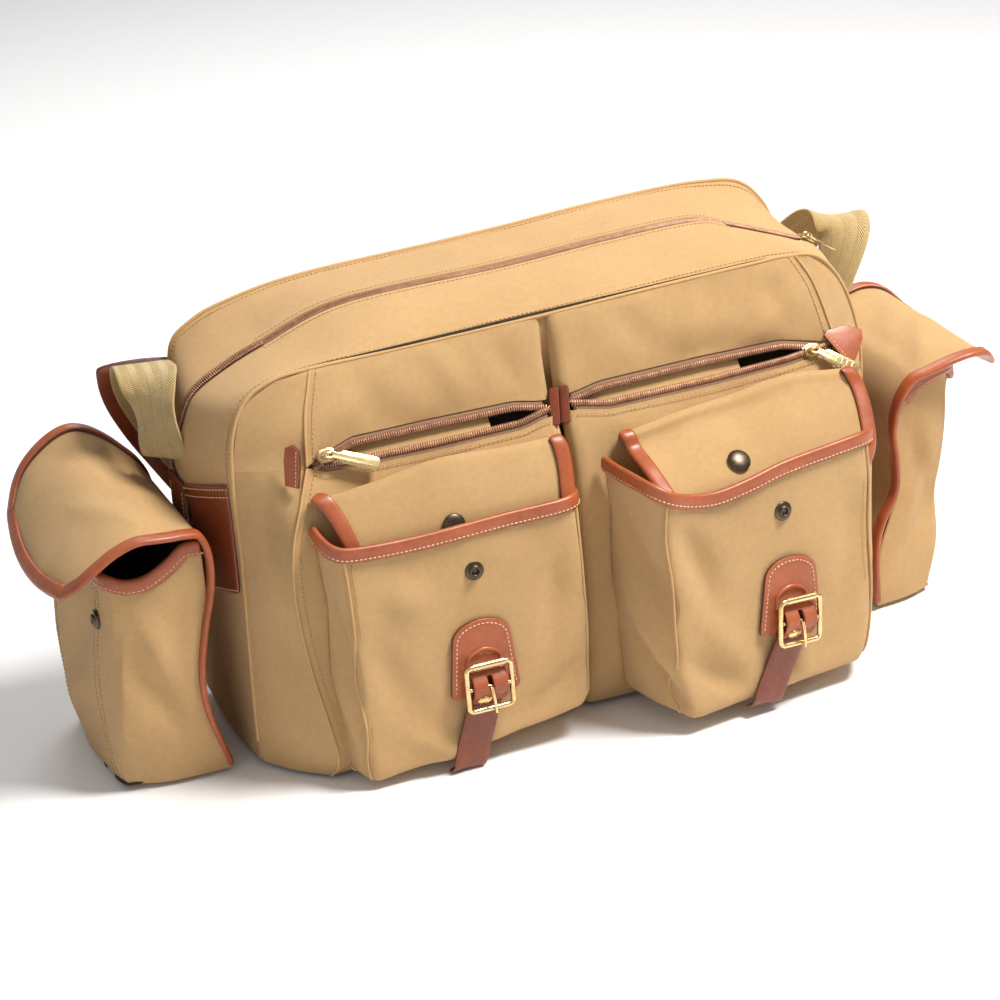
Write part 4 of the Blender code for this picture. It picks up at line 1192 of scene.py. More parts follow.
def make_puller(node, hinge, direction, out, length, body, ribs=False):
    """A flat pull tab with an eye round the slider's bridge."""
    across = out.cross(direction).normalized()
    axes = (direction, across, out)
    eye = 3.6
    outline = [*arc((0.6, 0), eye, 60, 300, 12), (5.0, -2.0), (7.5, -2.4), (9.5, -4.1), (length - 3.5, -4.3)]
    outline += [*arc((length - 4.0, -1.3), 3.0, -80, 0, 4), *arc((length - 4.0, 1.3), 3.0, 0, 80, 4)]
    outline += [(length - 3.5, 4.3), (9.5, 4.1), (7.5, 2.4), (5.0, 2.0)]
    hole = [(0.8 + 2.2 * math.cos(t), 1.7 * math.sin(t)) for t in along(0, 2 * math.pi, 16)[:-1]]
    tab = plate(node + "_tab", [outline, hole], hinge, axes, 1.5, [BRASS], 0.4)
    pieces = [tab]
    if ribs:
        for k in range(5):
            middle = hinge + direction * (13.0 + 3.6 * k) + out * 0.8
            pieces.append(plate(f"{node}_rib{k}", [rounded(1.1, 5.6, 0.5)], middle, axes, 0.8, [BRASS], 0.3))
    settle(join(node + "_brass", pieces), body, [node])


def pocket_slope():
    """Unit vectors on the zipped pockets' sloping top: along X, down the slope, and out."""
    down = Vector((0, -13, -17)).normalized()
    return Vector((1, 0, 0)), down, Vector((0, down.z, -down.y))


PULLER_DROP = {"left": 24.0, "right": 38.0}


def make_pocket_slider(side):
    right, down, out = pocket_slope()
    node = "pocket_zip_slider_" + side
    ahead = right * OUTWARD[side]
    make_slider(node, (ahead, out.cross(ahead), out), "pocket_slider_" + side)
    drop = math.radians(PULLER_DROP[side])
    direction = right * math.cos(drop) + down * math.sin(drop)
    hinge = Span(node).middle + out * 3.4
    puller = "pocket_zip_puller_" + side
    make_puller(puller, hinge, direction, out, 34.0, "pocket_puller_" + side, side == "right")


def make_main_slider():
    ahead = Vector((-0.821466, 0, 0.570257))
    out = Vector((0.570257, 0, 0.821466))
    make_slider("main_zip_slider", (ahead, out.cross(ahead), out), "main_slider")
    hinge = Span("main_zip_slider").middle + out * 3.4
    make_puller("main_zip_puller", hinge, -ahead, out, 25.0, "main_puller")


def make_tab(name, outline, origin, axes, sewn):
    """A small leather tab with a row of stitches."""
    tab = plate(name + "_leather", [outline], origin, axes, 2.4, [LEATHER, CUT_EDGE], 0.5)
    settle(tab, replaces=[name])
    a, b, n = (Vector(axis) for axis in axes)
    path = [Vector(origin) + a * p + b * q + n * 1.3 for p, q in sewn]
    settle(stitches(name + "_thread", path, [n] * len(path), THREAD, 2.6, 0.7))


def make_zip_tabs():
    right, down, out = pocket_slope()
    axes = (right, -down, out)
    spot = Span("zip_tab_left").middle + Vector((1.0, 0, 0))
    turned_axes = (Vector((0.55, -0.83, 0)).normalized(), Vector((0.12, 0.08, 0.99)).normalized())
    turned_axes = (turned_axes[0], turned_axes[1], turned_axes[0].cross(turned_axes[1]).normalized())
    outline = [(-5, -13), (5, -13), (6, 3), (5, 11), (0, 13.5), (-5, 11), (-6, 3)]
    make_tab("zip_tab_left", outline, spot, turned_axes, [(3.4, -11), (3.6, 9)])
    spot = Span("zip_tab_right").middle + Vector((-2.0, 0, 1.0))
    leaf = [(-13, 9), (-10, 12), (4, 13), (14, 8), (13, 2), (3, -11), (-3, -12), (-7, -4)]
    make_tab("zip_tab_right", leaf, spot, axes, [(-10, 8), (-5, -3), (-2, -9)])
    for side in SIDES:
        sign = OUTWARD[side]
        spot = Span("zip_tab_centre").middle + Vector((sign * 3.4, 0, 0)) + out * 0.6
        lean = (Vector((1, -1.1, 0)).normalized(), -down)
        lean = (lean[0], lean[1], lean[0].cross(lean[1]).normalized())
        outline = rounded(6.0, 24.0, 1.5)
        strip = plate("zip_tab_centre_" + side, [outline], spot, lean, 2.2, [DARK_LEATHER, CUT_EDGE], 0.5)
        settle(strip, replaces=["zip_tab_centre"])


# --- dump pockets --------------------------------------------------------------------------------

DUMP_TOP = 153.0
FACES = {"left": (-161.0, -119.5, 0.0, 0.045), "right": (36.0, -151.0, 0.116, 0.055)}
# Rows from the mouth down: back left, front left, front right and back right.
DUMP_ROWS = {
    "left": (
        (-171, 130, -161, 130, -8, 130, -4, 130), (-170, 80, -160, 80, -8, 80, -4, 80),
        (-168, 35, -159, 30, -9, 38, -5, 38), (-166, 10, -156, 7, -13, 24, -6, 28),
    ),
    "right": (
        (21, 130, 37, 130, 187, 130, 204, 130), (22, 80, 38, 80, 185, 80, 203, 80),
        (23, 45, 40, 38, 183, 42, 201, 45), (25, 18, 45, 12, 175, 15, 197, 18),
    ),
}
# The mouth: x, z and how far behind the face plane, from the back left to the back right.
MOUTH = {
    "left": (
        (-173, 172, 21), (-172, 168, 14), (-167, 163, 4), (-155, 160.5, 0), (-113, 159, 0), (-57, 161, 0),
        (-22, 161.5, 0), (-10, 162, 3), (-5, 161, 12), (-4, 160, 20),
    ),
    "right": (
        (19, 175, 53), (21, 174, 38), (26, 172, 20), (32, 169, 6), (41, 164, 0), (54, 159, 0), (74, 156, 0),
        (98, 158.5, 0), (123, 163, 0), (157, 165.5, 0), (180, 167, 0), (191, 166, 5), (198, 161, 16),
        (203, 154, 29), (205, 151, 33),
    ),
}
# The fold over the top of each storm flap, and its side edges as x at the fold, mouth and foot.
FOLD = {
    "left": ((-174, 187), (-139, 190), (-94, 196), (-46, 194.5), (-8, 194)),
    "right": ((28, 186), (45, 192), (85, 196), (127, 201), (190, 197)),
}
FLAP_EDGES = {"left": ((-173, -12), (-160, -9), (-150, -16)), "right": ((33, 187), (38, 197), (46, 184))}
CAP_SPOT = {"left": (-90.0, 161.0), "right": (97.0, 167.0)}
DUMP_COLUMNS = 84


def face_y(side, x, z):
    x0, y0, turn, lean = FACES[side]
    return y0 + turn * (x - x0) - lean * (DUMP_TOP - z)


def face_axes(side, roll=0.0):
    """Unit vectors on a dump pocket's front face: to the right, up, and out of the face."""
    _, _, turn, lean = FACES[side]
    out = Vector((turn, -1.0, lean)).normalized()
    right = Vector((1.0, turn, 0.0)).normalized()
    turn = Matrix.Rotation(math.radians(roll), 3, out)
    return turn @ right, turn @ out.cross(right).normalized(), out


def face_spot(side, x, z, lift=0.0):
    return Vector((x, face_y(side, x, z), z)) + face_axes(side)[2] * lift


def mouth_path(side, spacing=None):
    points = [Vector((x, face_y(side, x, z) + back, z)) for x, z, back in MOUTH[side]]
    fine = smooth_run(points, 1.0)
    length = 1.0 * (len(fine) - 1)
    return even(fine, spacing or length / DUMP_COLUMNS)


def dump_row(side, xs, inset=0.0):
    """Points round a dump pocket at one height, with rounded front corners."""
    x0, z0, x1, z1, x2, z2, x3, z3 = xs
    back_left, back_right = Vector((x0, -99.6, z0)), Vector((x3, -99.6, z3))
    front_left = Vector((x1, face_y(side, x1, z1) + inset, z1))
    front_right = Vector((x2, face_y(side, x2, z2) + inset, z2))
    points = [back_left, back_left.lerp(front_left, 0.5) + Vector((-1.5, 0, 0))]
    points += [front_left.lerp(back_left, 0.12), front_left.lerp(front_right, 0.025)]
    points += [front_left.lerp(front_right, t) for t in (0.15, 0.3, 0.5, 0.7, 0.85)]
    points += [front_right.lerp(front_left, 0.025), front_right.lerp(back_right, 0.12)]
    points += [back_right.lerp(front_right, 0.5) + Vector((1.5, 0, 0)), back_right]
    fine = smooth_run(points, 0.8, 40)
    length = sum((b - a).length for a, b in zip(fine, fine[1:]))
    return even(fine, length / DUMP_COLUMNS)


DUMP_CREASES = {
    "left": (
        ((-24, -121, 118), (-44, -123, 62), 9, -3.6), ((-12, -121, 88), (-46, -124, 36), 7, 3.2),
        ((-14, -121, 52), (-60, -124, 26), 8, -3.4), ((-148, -121, 92), (-118, -123, 40), 12, -3.0),
        ((-140, -121, 132), (-110, -121, 108), 12, 2.4), ((-171, -104, 125), (-163, -119, 62), 7, -3.4),
        ((-171, -104, 82), (-162, -118, 28), 6, 2.6), ((-128, -122, 30), (-100, -124, 12), 8, 2.6),
    ),
    "right": (
        ((24, -106, 140), (38, -150, 84), 9, -5.5), ((24, -108, 96), (39, -150, 40), 8, 4.0),
        ((25, -112, 66), (40, -148, 22), 8, -5.0), ((46, -152, 142), (72, -152, 82), 10, -3.6),
        ((60, -150, 74), (98, -148, 34), 9, 3.0), ((178, -136, 128), (156, -140, 66), 10, -3.4),
        ((186, -132, 84), (150, -142, 34), 9, 2.6), ((44, -152, 52), (86, -150, 20), 8, -3.0),
    ),
}


FOLD_DEPTH = 1.5


def dump_sag(side):
    """Slack in a dump pocket's cloth: soft dents that leave the buckle's place flat."""
    seed = 5 if side == "left" else 8
    buckle = Span("buckle_patch_" + side).middle

    def amount(i, j, p):
        clear = min(1.0, max(0.0, ((p - buckle).length - 34) / 30))
        edges = min(1.0, i * 7, (1 - i) * 7)
        drape = 2.2 * rumple(Vector((p.x, p.y, p.z * 0.6)), 62.0, seed)
        drape += FOLD_DEPTH * creased(p, DUMP_CREASES[side])
        return clear * edges * drape

    return amount


def make_dump_pocket(side):
    mouth = mouth_path(side)
    rows = [dump_row(side, xs) for xs in DUMP_ROWS[side]]
    foot = [p + (Vector(((p.x * 0.9 + mouth[42].x * 0.1), -104, p.z - 4)) - p) * 0.45 for p in rows[-1]]
    under = [Vector((p.x * 0.94 + mouth[42].x * 0.06, -99.5, max(p.z - 5, 3))) for p in rows[-1]]
    grid = refined([mouth, *rows, foot, under], 60)
    middle = mouth[42] + Vector((0, 12, -80))
    grid = push_out(grid, lambda i, j, p: -dump_sag(side)(i, j, p))
    shell = cloth("dump_shell_" + side, grid, middle, [CANVAS, CANVAS], CANVAS_THICK)
    settle(shell, replaces=["dump_pocket_" + side])
    make_dump_seams(side, grid)
    make_dump_trim(side)
    make_dump_flap(side)
    make_stud("dump_snap_stud_" + side, face_axes(side))


def make_dump_seams(side, grid):
    """Ridges and stitches down both front corners of a dump pocket."""
    rows = DUMP_ROWS[side]
    for word, column, way in (("left", 1, 1), ("right", 2, -1)):
        corner_x = [row[column * 2] for row in rows]
        path = []
        for k, row in enumerate(grid[3:50]):
            share = min(0.999, k / 46) * (len(rows) - 1)
            i = int(share)
            x = corner_x[i] + (corner_x[i + 1] - corner_x[i]) * (share - i)
            path.append(min(row, key=lambda p: abs(p.x - x) + (40 if p.y > -106 else 0)))
        lifted = [p + Vector((-way * 0.4, -0.5, 0)) for p in path]
        line = smooth_run(lifted[::6] + lifted[-1:], 4.0, 8)
        settle(tube(f"dump_ridge_{word}_{side}", line, 1.0, CANVAS))
        beside = [p + Vector((way * 4.0, -0.6 + 4.0 * way * FACES[side][2], 0)) for p in line]
        settle(stitches(f"dump_thread_{word}_{side}", beside, [FORWARD] * len(beside), TONAL, 3.0, 0.7))


def make_dump_trim(side):
    """Leather rolled over the mouth's edge, with stitches below it on the outside."""
    path = mouth_path(side, 2.6)
    ahead = tangents(path)
    down = [Vector((0, 0, -1))] * len(path)
    trim = edge_binding("dump_rim_" + side, [p + Vector((0, 0, 1.5)) for p in path], down, 8.6, 4.8)
    settle(trim, replaces=["dump_trim_" + side])
    outs = [t.cross(UP).normalized() for t in ahead]
    sewn = [p + out * 2.55 + Vector((0, 0, -4.6)) for p, out in zip(path, outs)]
    settle(stitches("dump_rim_thread_" + side, sewn, outs, THREAD, 2.9, 0.85))


def flap_spot(side, share, down):
    """A point on a tucked storm flap: share runs across it, down from its fold to its foot."""
    (l0, r0), (l1, r1), (l2, r2) = FLAP_EDGES[side]
    x = curve_at([Vector((l0 + (r0 - l0) * share, 0)), Vector((l1 + (r1 - l1) * share, 0)),
                  Vector((l2 + (r2 - l2) * share, 0))], down).x
    fold = [Vector((x, 0, z)) for x, z in FOLD[side]]
    top = curve_at(fold, share).z
    depth = min(face_y(side, x, 158) + 5.5, -104)
    column = [
        Vector((x, -90, top - 1)), Vector((x, -95, top + 2)), Vector((x, -99.5, top + 0.5)),
        Vector((x, -103.5, top - 7)), Vector((x, -103.5 + (depth + 103.5) * 0.52, (top - 7) * 0.5 + 80)),
        Vector((x, depth, 157)), Vector((x, depth + 2, 138)), Vector((x, depth + 4, 108)),
    ]
    return curve_at(column, down)


def flap_normal(side, share, down):
    a = flap_spot(side, share + 0.01, down) - flap_spot(side, share - 0.01, down)
    b = flap_spot(side, share, min(down + 0.01, 1.0)) - flap_spot(side, share, max(down - 0.01, 0.0))
    return b.cross(a).normalized()


def make_dump_flap(side):
    """The storm flap tucked into its pocket, with leather binding down both its sides and its snap cap."""
    body = "dump_flap_" + side
    seed = 21 if side == "left" else 26
    rows = []
    for down in along(0.0, 1.0, 44):
        row = []
        for share in along(0.0, 1.0, 48):
            p = flap_spot(side, share, down)
            wave = 1.1 * rumple(p, 45.0, seed) * hump(min(1.0, down * 1.2))
            row.append(p + flap_normal(side, min(max(share, 0.02), 0.98), down) * wave)
        rows.append(row)
    panel = cloth("dump_storm_" + side, rows, (rows[0][24].x, -80, 120), [CANVAS, CANVAS], CANVAS_THICK)
    bend(panel, ["dump_flap_" + side])
    for word, column, share, way in (("left", 0, 0.0, 1), ("right", -1, 1.0, -1)):
        path = even([row[column] for row in rows[6:]], 2.5)
        inward = [Vector((way, 0, 0))] * len(path)
        shifted = [p + Vector((-way * 2.0, -0.6, 0)) for p in path]
        rim = edge_binding(f"dump_storm_rim_{word}_{side}", shifted, inward, 8.4, 4.6)
        bend(rim, ["dump_flap_binding_" + side])
        ups = [flap_normal(side, 0.5, k / len(path)) for k in range(len(path))]
        sewn = [p + Vector((way * 4.2, 0, 0)) + up * 2.0 for p, up in zip(path, ups)]
        bend(stitches(f"dump_storm_thread_{word}_{side}", sewn, ups, THREAD, 2.9, 0.8))
    cap_x, cap_z = CAP_SPOT[side]
    (l1, r1) = FLAP_EDGES[side][1]
    share = (cap_x - l1) / (r1 - l1)
    down = min(along(0.4, 0.8, 80), key=lambda t: abs(flap_spot(side, share, t).z - cap_z))
    out = flap_normal(side, share, down)
    right = Vector((1, 0, 0)) - out * out.x
    axes = (right.normalized(), out.cross(right).normalized(), out)
    spot = flap_spot(side, share, down) + out * 1.6
    make_cap("dump_snap_cap_" + side, spot, axes, body)


# --- snaps ---------------------------------------------------------------------------------------

CAP_PROFILE = (
    (0.0, 2.6), (2.4, 2.5), (4.6, 2.1), (6.2, 1.5), (7.2, 0.8), (7.5, 0.3), (7.4, -0.2), (6.8, -0.4),
    (0.0, -0.4),
)
STUD_PROFILE = (
    (0.0, 0.7), (1.7, 0.7), (2.1, 1.1), (2.3, 2.5), (2.8, 2.9), (3.5, 2.9), (4.0, 2.4), (4.1, 1.6),
    (4.9, 1.1), (5.9, 0.9), (6.3, 0.5), (6.3, -0.2), (0.0, -0.2),
)


def make_cap(name, spot, axes, body="root"):
    cap = turned(name + "_bronze", CAP_PROFILE, spot, axes, BRONZE, 40)
    settle(cap, body, [name])


def make_stud(name, axes):
    spot = Span(name).middle - axes[2] * 1.5
    stud = turned(name + "_bronze", STUD_PROFILE, spot, axes, BRONZE, 40)
    settle(stud, replaces=[name])


# --- buckles -------------------------------------------------------------------------------------

BUCKLE_ROLL = {"left": 0.0, "right": -4.0}
STRAP_SLANT = {"left": 0.34, "right": 0.45}
STRAP_END_HEIGHT = {"left": 2.0, "right": 4.5}
STRAP_SECTION = (
    (-11, -0.7), (-10.4, -1.2), (10.4, -1.2), (11, -0.7), (11, 0.7), (10.4, 1.2), (-10.4, 1.2), (-11, 0.7),
)
STRAP_EDGES = (3, 7)


def shield(width, height):
    """A leather patch with a rounded top that widens towards its straight bottom."""
    half, top = width / 2, height / 2
    outline = [*arc((-half + 4, -top + 4), 4, 180, 270, 4), *arc((half - 4, -top + 4), 4, -90, 0, 4)]
    for i in range(13):
        turn = math.pi * i / 12
        outline.append((half * 0.86 * math.cos(turn), top - 15.0 + 15.0 * math.sin(turn) ** 0.8))
    return outline


def on_face(origin, axes, a, b, c=0.0):
    return origin + axes[0] * a + axes[1] * b + axes[2] * c


def make_buckle(side):
    axes = face_axes(side, BUCKLE_ROLL[side])
    out = axes[2]
    patch_mid = Span("buckle_patch_" + side).middle
    outline = shield(46.0, 51.0)
    spot = patch_mid + out * 0.2
    patch = plate("buckle_shield_" + side, [outline], spot, axes, 2.6, [LEATHER, CUT_EDGE], 0.7)
    settle(patch, replaces=["buckle_patch_" + side])
    sewn = [on_face(patch_mid, axes, a * 0.86, b * 0.88, 1.6) for a, b in outline[9:]]
    sewn = [on_face(patch_mid, axes, 20.0, -20.0, 1.6), *sewn, on_face(patch_mid, axes, -20.0, -20.0, 1.6)]
    settle(stitches("buckle_shield_thread_" + side, sewn, [out] * len(sewn), THREAD, 2.9, 0.85))
    bump = ((-11, -8), (-10, 1), (0, 5.5), (10, 1), (11, -8))
    ridge = [on_face(patch_mid, axes, a, b, 1.6) for a, b in bump]
    settle(tube("buckle_ridge_" + side, smooth_run(ridge, 1.5), 1.5, LEATHER))
    centre = Span("buckle_frame_" + side).middle
    make_buckle_frame(side, centre, axes)
    make_chape(side, centre, axes)
    make_strap(side, centre, axes)


def make_buckle_frame(side, centre, axes):
    outline = rounded(29.6, 29.6, 3.2, 5)
    ring = [on_face(centre, axes, a, b) for a, b in outline]
    frame = tube("buckle_ring_" + side, even(ring + ring[:1], 0.9)[:-1], 1.75, BRASS, closed=True)
    across = [on_face(centre, axes, a, 0) for a in (-14.8, 14.8)]
    bar = tube("buckle_bar_" + side, across, 1.4, BRASS)
    above = [on_face(centre, axes, a, 14.8) for a in (-10.5, 10.5)]
    roller = tube("buckle_roller_" + side, above, 2.3, BRASS, sides=5)
    buckle = join("buckle_brass_" + side, [frame, bar, roller])
    settle(buckle, "buckle_" + side, ["buckle_frame_" + side])
    bow = ((0, 0.5, 3.0), (0.5, -5, 4.0), (1.2, -11, 4.0), (1.8, -17, 3.2))
    tip = [on_face(centre, axes, a, b, c) for a, b, c in bow]
    prong = tube("buckle_tongue_" + side, smooth_run(tip, 1.2), 1.05, BRASS)
    settle(prong, "prong_" + side, ["buckle_prong_" + side])


def make_chape(side, centre, axes):
    """Leather folded over the buckle's middle bar, with a slot for the prong and a rivet."""
    column = (
        (-12.5, -6.0), (-11.5, -3.6), (-8.0, -0.6), (-3.5, 2.6), (0.0, 3.4), (3.5, 2.6), (8.0, -0.6),
        (11.0, -4.0), (12.0, -6.2),
    )
    spine = smooth_run([(0, b, c) for b, c in column], 1.1)
    rows = [[on_face(centre, axes, a, p.y, p.z) for a in along(-11.6, 11.6, 16)] for p in spine]
    count = len(rows)

    def slot(i, j):
        return 6 < j < 9 and 0.42 < i / count < 0.72

    inside = on_face(centre, axes, 0, 0, -30)
    leather = cloth("buckle_chape_" + side, rows, inside, [LEATHER, CUT_EDGE], 2.0, 1, slot)
    settle(leather)
    rivet_at = on_face(centre, axes, -4.2, -8.6, -0.4)
    lean = (axes[0], (axes[1] + axes[2] * 0.7).normalized())
    rivet_axes = (lean[0] * 1.3, lean[1], lean[0].cross(lean[1]).normalized())
    profile = ((0.0, 1.7), (2.2, 1.5), (3.5, 0.9), (3.9, 0.2), (3.9, -0.6), (0.0, -0.6))
    settle(turned("buckle_rivet_" + side, profile, rivet_at, rivet_axes, BRASS, 28))


def make_strap(side, centre, axes):
    """The buckle's strap, from behind the frame down the face and under the pocket."""
    span = Span("buckle_strap_" + side)
    lift = -(centre - face_spot(side, centre.x, centre.z)).dot(axes[2])
    drop = (centre.z - span.z0) / axes[1].z
    slant = STRAP_SLANT[side]
    route = ((10, 3.6), (0, 4.2), (-10, 4.4), (-18, 4.0), (-drop * 0.72, 3.4))
    path = [on_face(centre, axes, min(0.0, b + 6) * slant, b, lift + c) for b, c in route]
    end = on_face(centre, axes, (6 - drop) * slant, -drop - 1, lift + 2.4)
    path += [end, end + Vector((-3.0, 7.0, -3.0))]
    line = smooth_run(path, 2.4)
    line = [Vector((p.x, p.y, max(p.z, STRAP_END_HEIGHT[side]))) for p in line]
    sides = [axes[0]] * len(line)
    leathers = [DARK_LEATHER, CUT_EDGE]
    strap = loft("buckle_strap_leather_" + side, line, sides, STRAP_SECTION, leathers, STRAP_EDGES)
    settle(strap, replaces=["buckle_strap_" + side])


# --- end pockets ---------------------------------------------------------------------------------

# Rows from the mouth down: the four corners as outward distance and depth, then the height.
FOLD_X = {"left": -238.0, "right": 250.0}
END_ROWS = {
    "left": (
        (-5, -59, 55, -53, 59, 68, -5, 72, 120), (3, -61, 54, -55, 63, 76, 3, 74, 80),
        (1, -61, 57, -54, 62, 76, 1, 74, 42), (-9, -58, 58, -50, 56, 66, -9, 66, 8),
    ),
    "right": (
        (-3, -60, 40, -54, 50, 68, -3, 72, 122), (-3, -60, 36, -54, 50, 74, -3, 74, 82),
        (-15, -60, 34, -53, 46, 74, -15, 74, 44), (-16, -58, 31, -49, 38, 66, -16, 66, 8),
    ),
}
END_MOUTH = {
    "left": (
        (-5, -59, 160), (6, -58, 160), (18, -57.5, 151), (31, -56.5, 144), (43, -55, 143), (53, -52, 147),
        (58, -40, 149), (61, 10, 149), (61, 56, 150), (56, 68, 151), (34, 71, 150), (12, 72, 155),
        (-5, 71, 160),
    ),
    "right": (
        (2, -59, 152), (10, -59, 160), (20, -58.5, 165), (30, -58, 168), (38, -56, 169), (43, -52, 168),
        (50, -40, 158), (54, 10, 150), (54, 56, 146), (50, 68, 146), (30, 71, 143), (12, 72, 148),
        (2, 71, 152),
    ),
}
# The back panel and flap as one sheet: outward distance, height, front depth and rear depth.
END_SHEET = {
    "left": (
        (-10, 5, -58, 66), (2, 46, -62, 72), (4, 74, -63, 74), (-1, 102, -62, 73), (-8, 130, -62, 72),
        (-9, 152, -62, 72), (-4, 167, -64, 73), (6, 175, -67, 76), (15, 180, -69, 78), (25, 184, -70, 80),
        (37, 186, -70, 80), (51, 181.5, -70, 80), (66, 171, -70, 80), (76, 160, -67, 77), (84, 148, -57, 66),
    ),
    "right": (
        (-15, 5, -58, 66), (-17, 45, -61, 72), (-12, 66, -61, 74), (-2, 86, -61, 73), (-1, 108, -61, 72),
        (-3, 130, -61, 72), (1, 150, -62, 72), (10, 166, -65, 74), (22, 172, -68, 77), (36, 177, -70, 80),
        (51, 179.5, -71, 80), (64, 176, -68, 76), (75, 164, -57, 66),
    ),
}
FOLD_ROW = 6
EDGE_TILT = {"left": 12.0, "right": 2.0}


def end_spot(side, outward, y, z):
    return Vector((FOLD_X[side] + OUTWARD[side] * outward, y, z))


def end_row(side, row):
    """Points round an end pocket at one height, from its front back edge to its rear one."""
    a, ay, b, by, c, cy, d, dy, z = row
    places = ((a, ay), (b, by), (c, cy), (d, dy))
    front_back, front, rear, rear_back = (end_spot(side, reach, y, z) for reach, y in places)
    bulge = Vector((OUTWARD[side] * 5, 0, 0))
    points = [front_back, front_back.lerp(front, 0.5) + Vector((0, -3, 0)), front.lerp(front_back, 0.08)]
    points += [front.lerp(rear, 0.03), front.lerp(rear, 0.3) + bulge]
    points += [front.lerp(rear, 0.7) + bulge, rear.lerp(front, 0.03)]
    points += [rear.lerp(rear_back, 0.08), rear.lerp(rear_back, 0.5) + Vector((0, 4, 0)), rear_back]
    fine = smooth_run(points, 1.0, 40)
    length = sum((q - p).length for p, q in zip(fine, fine[1:]))
    return even(fine, length / 84)


END_CREASES = {
    "left": (
        ((-238, -60, 142), (-262, -60, 58), 11, -5.5), ((-276, -58, 128), (-256, -60, 62), 9, 3.6),
        ((-284, -56, 90), (-250, -60, 26), 9, -4.0), ((-300, -30, 132), (-304, 20, 70), 16, -5.0),
        ((-302, -20, 70), (-298, 40, 30), 14, 4.0),
    ),
    "right": (
        ((254, -60, 140), (276, -60, 70), 10, -4.5), ((280, -58, 140), (262, -60, 66), 9, 3.0),
        ((284, -56, 84), (250, -60, 30), 9, -3.6), ((302, -30, 130), (304, 20, 70), 16, -4.0),
    ),
}
FLAP_CREASES = {
    "left": (((-252, -66, 176), (-306, 10, 182), 9, -3.0), ((-248, 0, 184), (-296, 70, 190), 12, 2.6)),
    "right": (((266, -66, 172), (310, 10, 178), 9, -2.6), ((262, 0, 176), (304, 70, 182), 12, 2.4)),
}


def make_end_pouch(side):
    points = [end_spot(side, *spot) for spot in END_MOUTH[side]]
    fine = smooth_run(points, 1.0)
    mouth = even(fine, (len(fine) - 1) / 84)
    rows = [end_row(side, row) for row in END_ROWS[side]]
    heart = end_spot(side, 22, 8, 5)
    foot = [p.lerp(heart, 0.12) for p in rows[-1]]
    foot = [Vector((p.x, p.y, 2.6)) for p in foot]
    under = [Vector((*p.lerp(heart, 0.8).xy, 2.4)) for p in rows[-1]]
    grid = refined([mouth, *rows, foot, under], 56)
    seed = 31 if side == "left" else 37
    sign = 1 if side == "left" else -1

    def amount(i, j, p):
        folds = 2.2 * rumple(p, 58.0, seed) + creased(p, END_CREASES[side])
        return sign * folds * min(1.0, i * 5, (1 - i) * 5, j * 9, (1 - j) * 9)

    grid = push_out(grid, amount)
    shell = cloth("end_pouch_" + side, grid, end_spot(side, 25, 8, 80), [CANVAS, LINING], CANVAS_THICK)
    settle(shell, replaces=["end_pocket_" + side])
    make_end_seams(side, grid)
    make_end_trim(side, fine)
    axes_out = Vector((OUTWARD[side], 0, -0.02)).normalized()
    across = Vector((0, OUTWARD[side], 0))
    make_stud("end_snap_stud_" + side, (across, axes_out.cross(across), axes_out))


def make_end_seams(side, grid):
    """Two rows of stitches down each corner between a pouch's gussets and its outer panel."""
    corners = (27, 57) if side == "left" else (25, 59)
    for k, column in enumerate(corners):
        for offset in (0, 1):
            path = [row[column + offset * (1 if k == 0 else -1) * 2] for row in grid[3:46]]
            middle = end_spot(side, 22, 8, 80)
            ups = [Vector((p.x - middle.x, p.y - middle.y, 0)).normalized() for p in path]
            lifted = [p + up * 0.3 for p, up in zip(path, ups)]
            settle(stitches(f"end_thread_{side}_{k}_{offset}", lifted, ups, TONAL, 3.0, 0.7))


def make_end_trim(side, fine):
    path = even(fine, 2.6)
    down = [Vector((0, 0, -1))] * len(path)
    raised = [p + Vector((0, 0, 1.5)) for p in path]
    rim = edge_binding("end_rim_" + side, raised, down, 8.6, 4.8)
    settle(rim, replaces=["end_trim_" + side])
    middle = end_spot(side, 25, 8, 150)
    ahead = tangents(path)
    outs = []
    for p, t in zip(path, ahead):
        out = t.cross(UP).normalized()
        outs.append(out if out.dot(p - middle) > 0 else -out)
    sewn = [p + out * 2.55 + Vector((0, 0, -4.6)) for p, out in zip(path, outs)]
    settle(stitches("end_rim_thread_" + side, sewn, outs, THREAD, 2.9, 0.85))


def sheet_spot(side, share, across):
    """A point on an end pocket's back panel and flap: share runs up and over, across to the rear."""
    rows = [Vector(row) for row in END_SHEET[side]]
    outward = curve_at([Vector((r[0], r[1], 0)) for r in END_SHEET[side]], share)
    depths = curve_at([Vector((r[2], r[3], 0)) for r in END_SHEET[side]], share)
    y = depths.x + (depths.y - depths.x) * across
    flap = max(0.0, share * (len(rows) - 1) - FOLD_ROW) / (len(rows) - 1 - FOLD_ROW)
    tilt = EDGE_TILT[side] * (across - 0.5) * 2 * hump(min(1.0, flap * 0.9)) if flap > 0 else 0.0
    tip = 7.0 * (1 - 4 * (across - 0.5) ** 2) * max(0.0, flap - 0.8) / 0.2
    return end_spot(side, outward.x + tip, y, outward.y + tilt - tip * 1.1)


def sheet_normal(side, share, across):
    a = sheet_spot(side, min(share + 0.004, 1.0), across) - sheet_spot(side, max(share - 0.004, 0.0), across)
    b = sheet_spot(side, share, across + 0.02) - sheet_spot(side, share, across - 0.02)
    return (b.cross(a) * OUTWARD[side]).normalized()


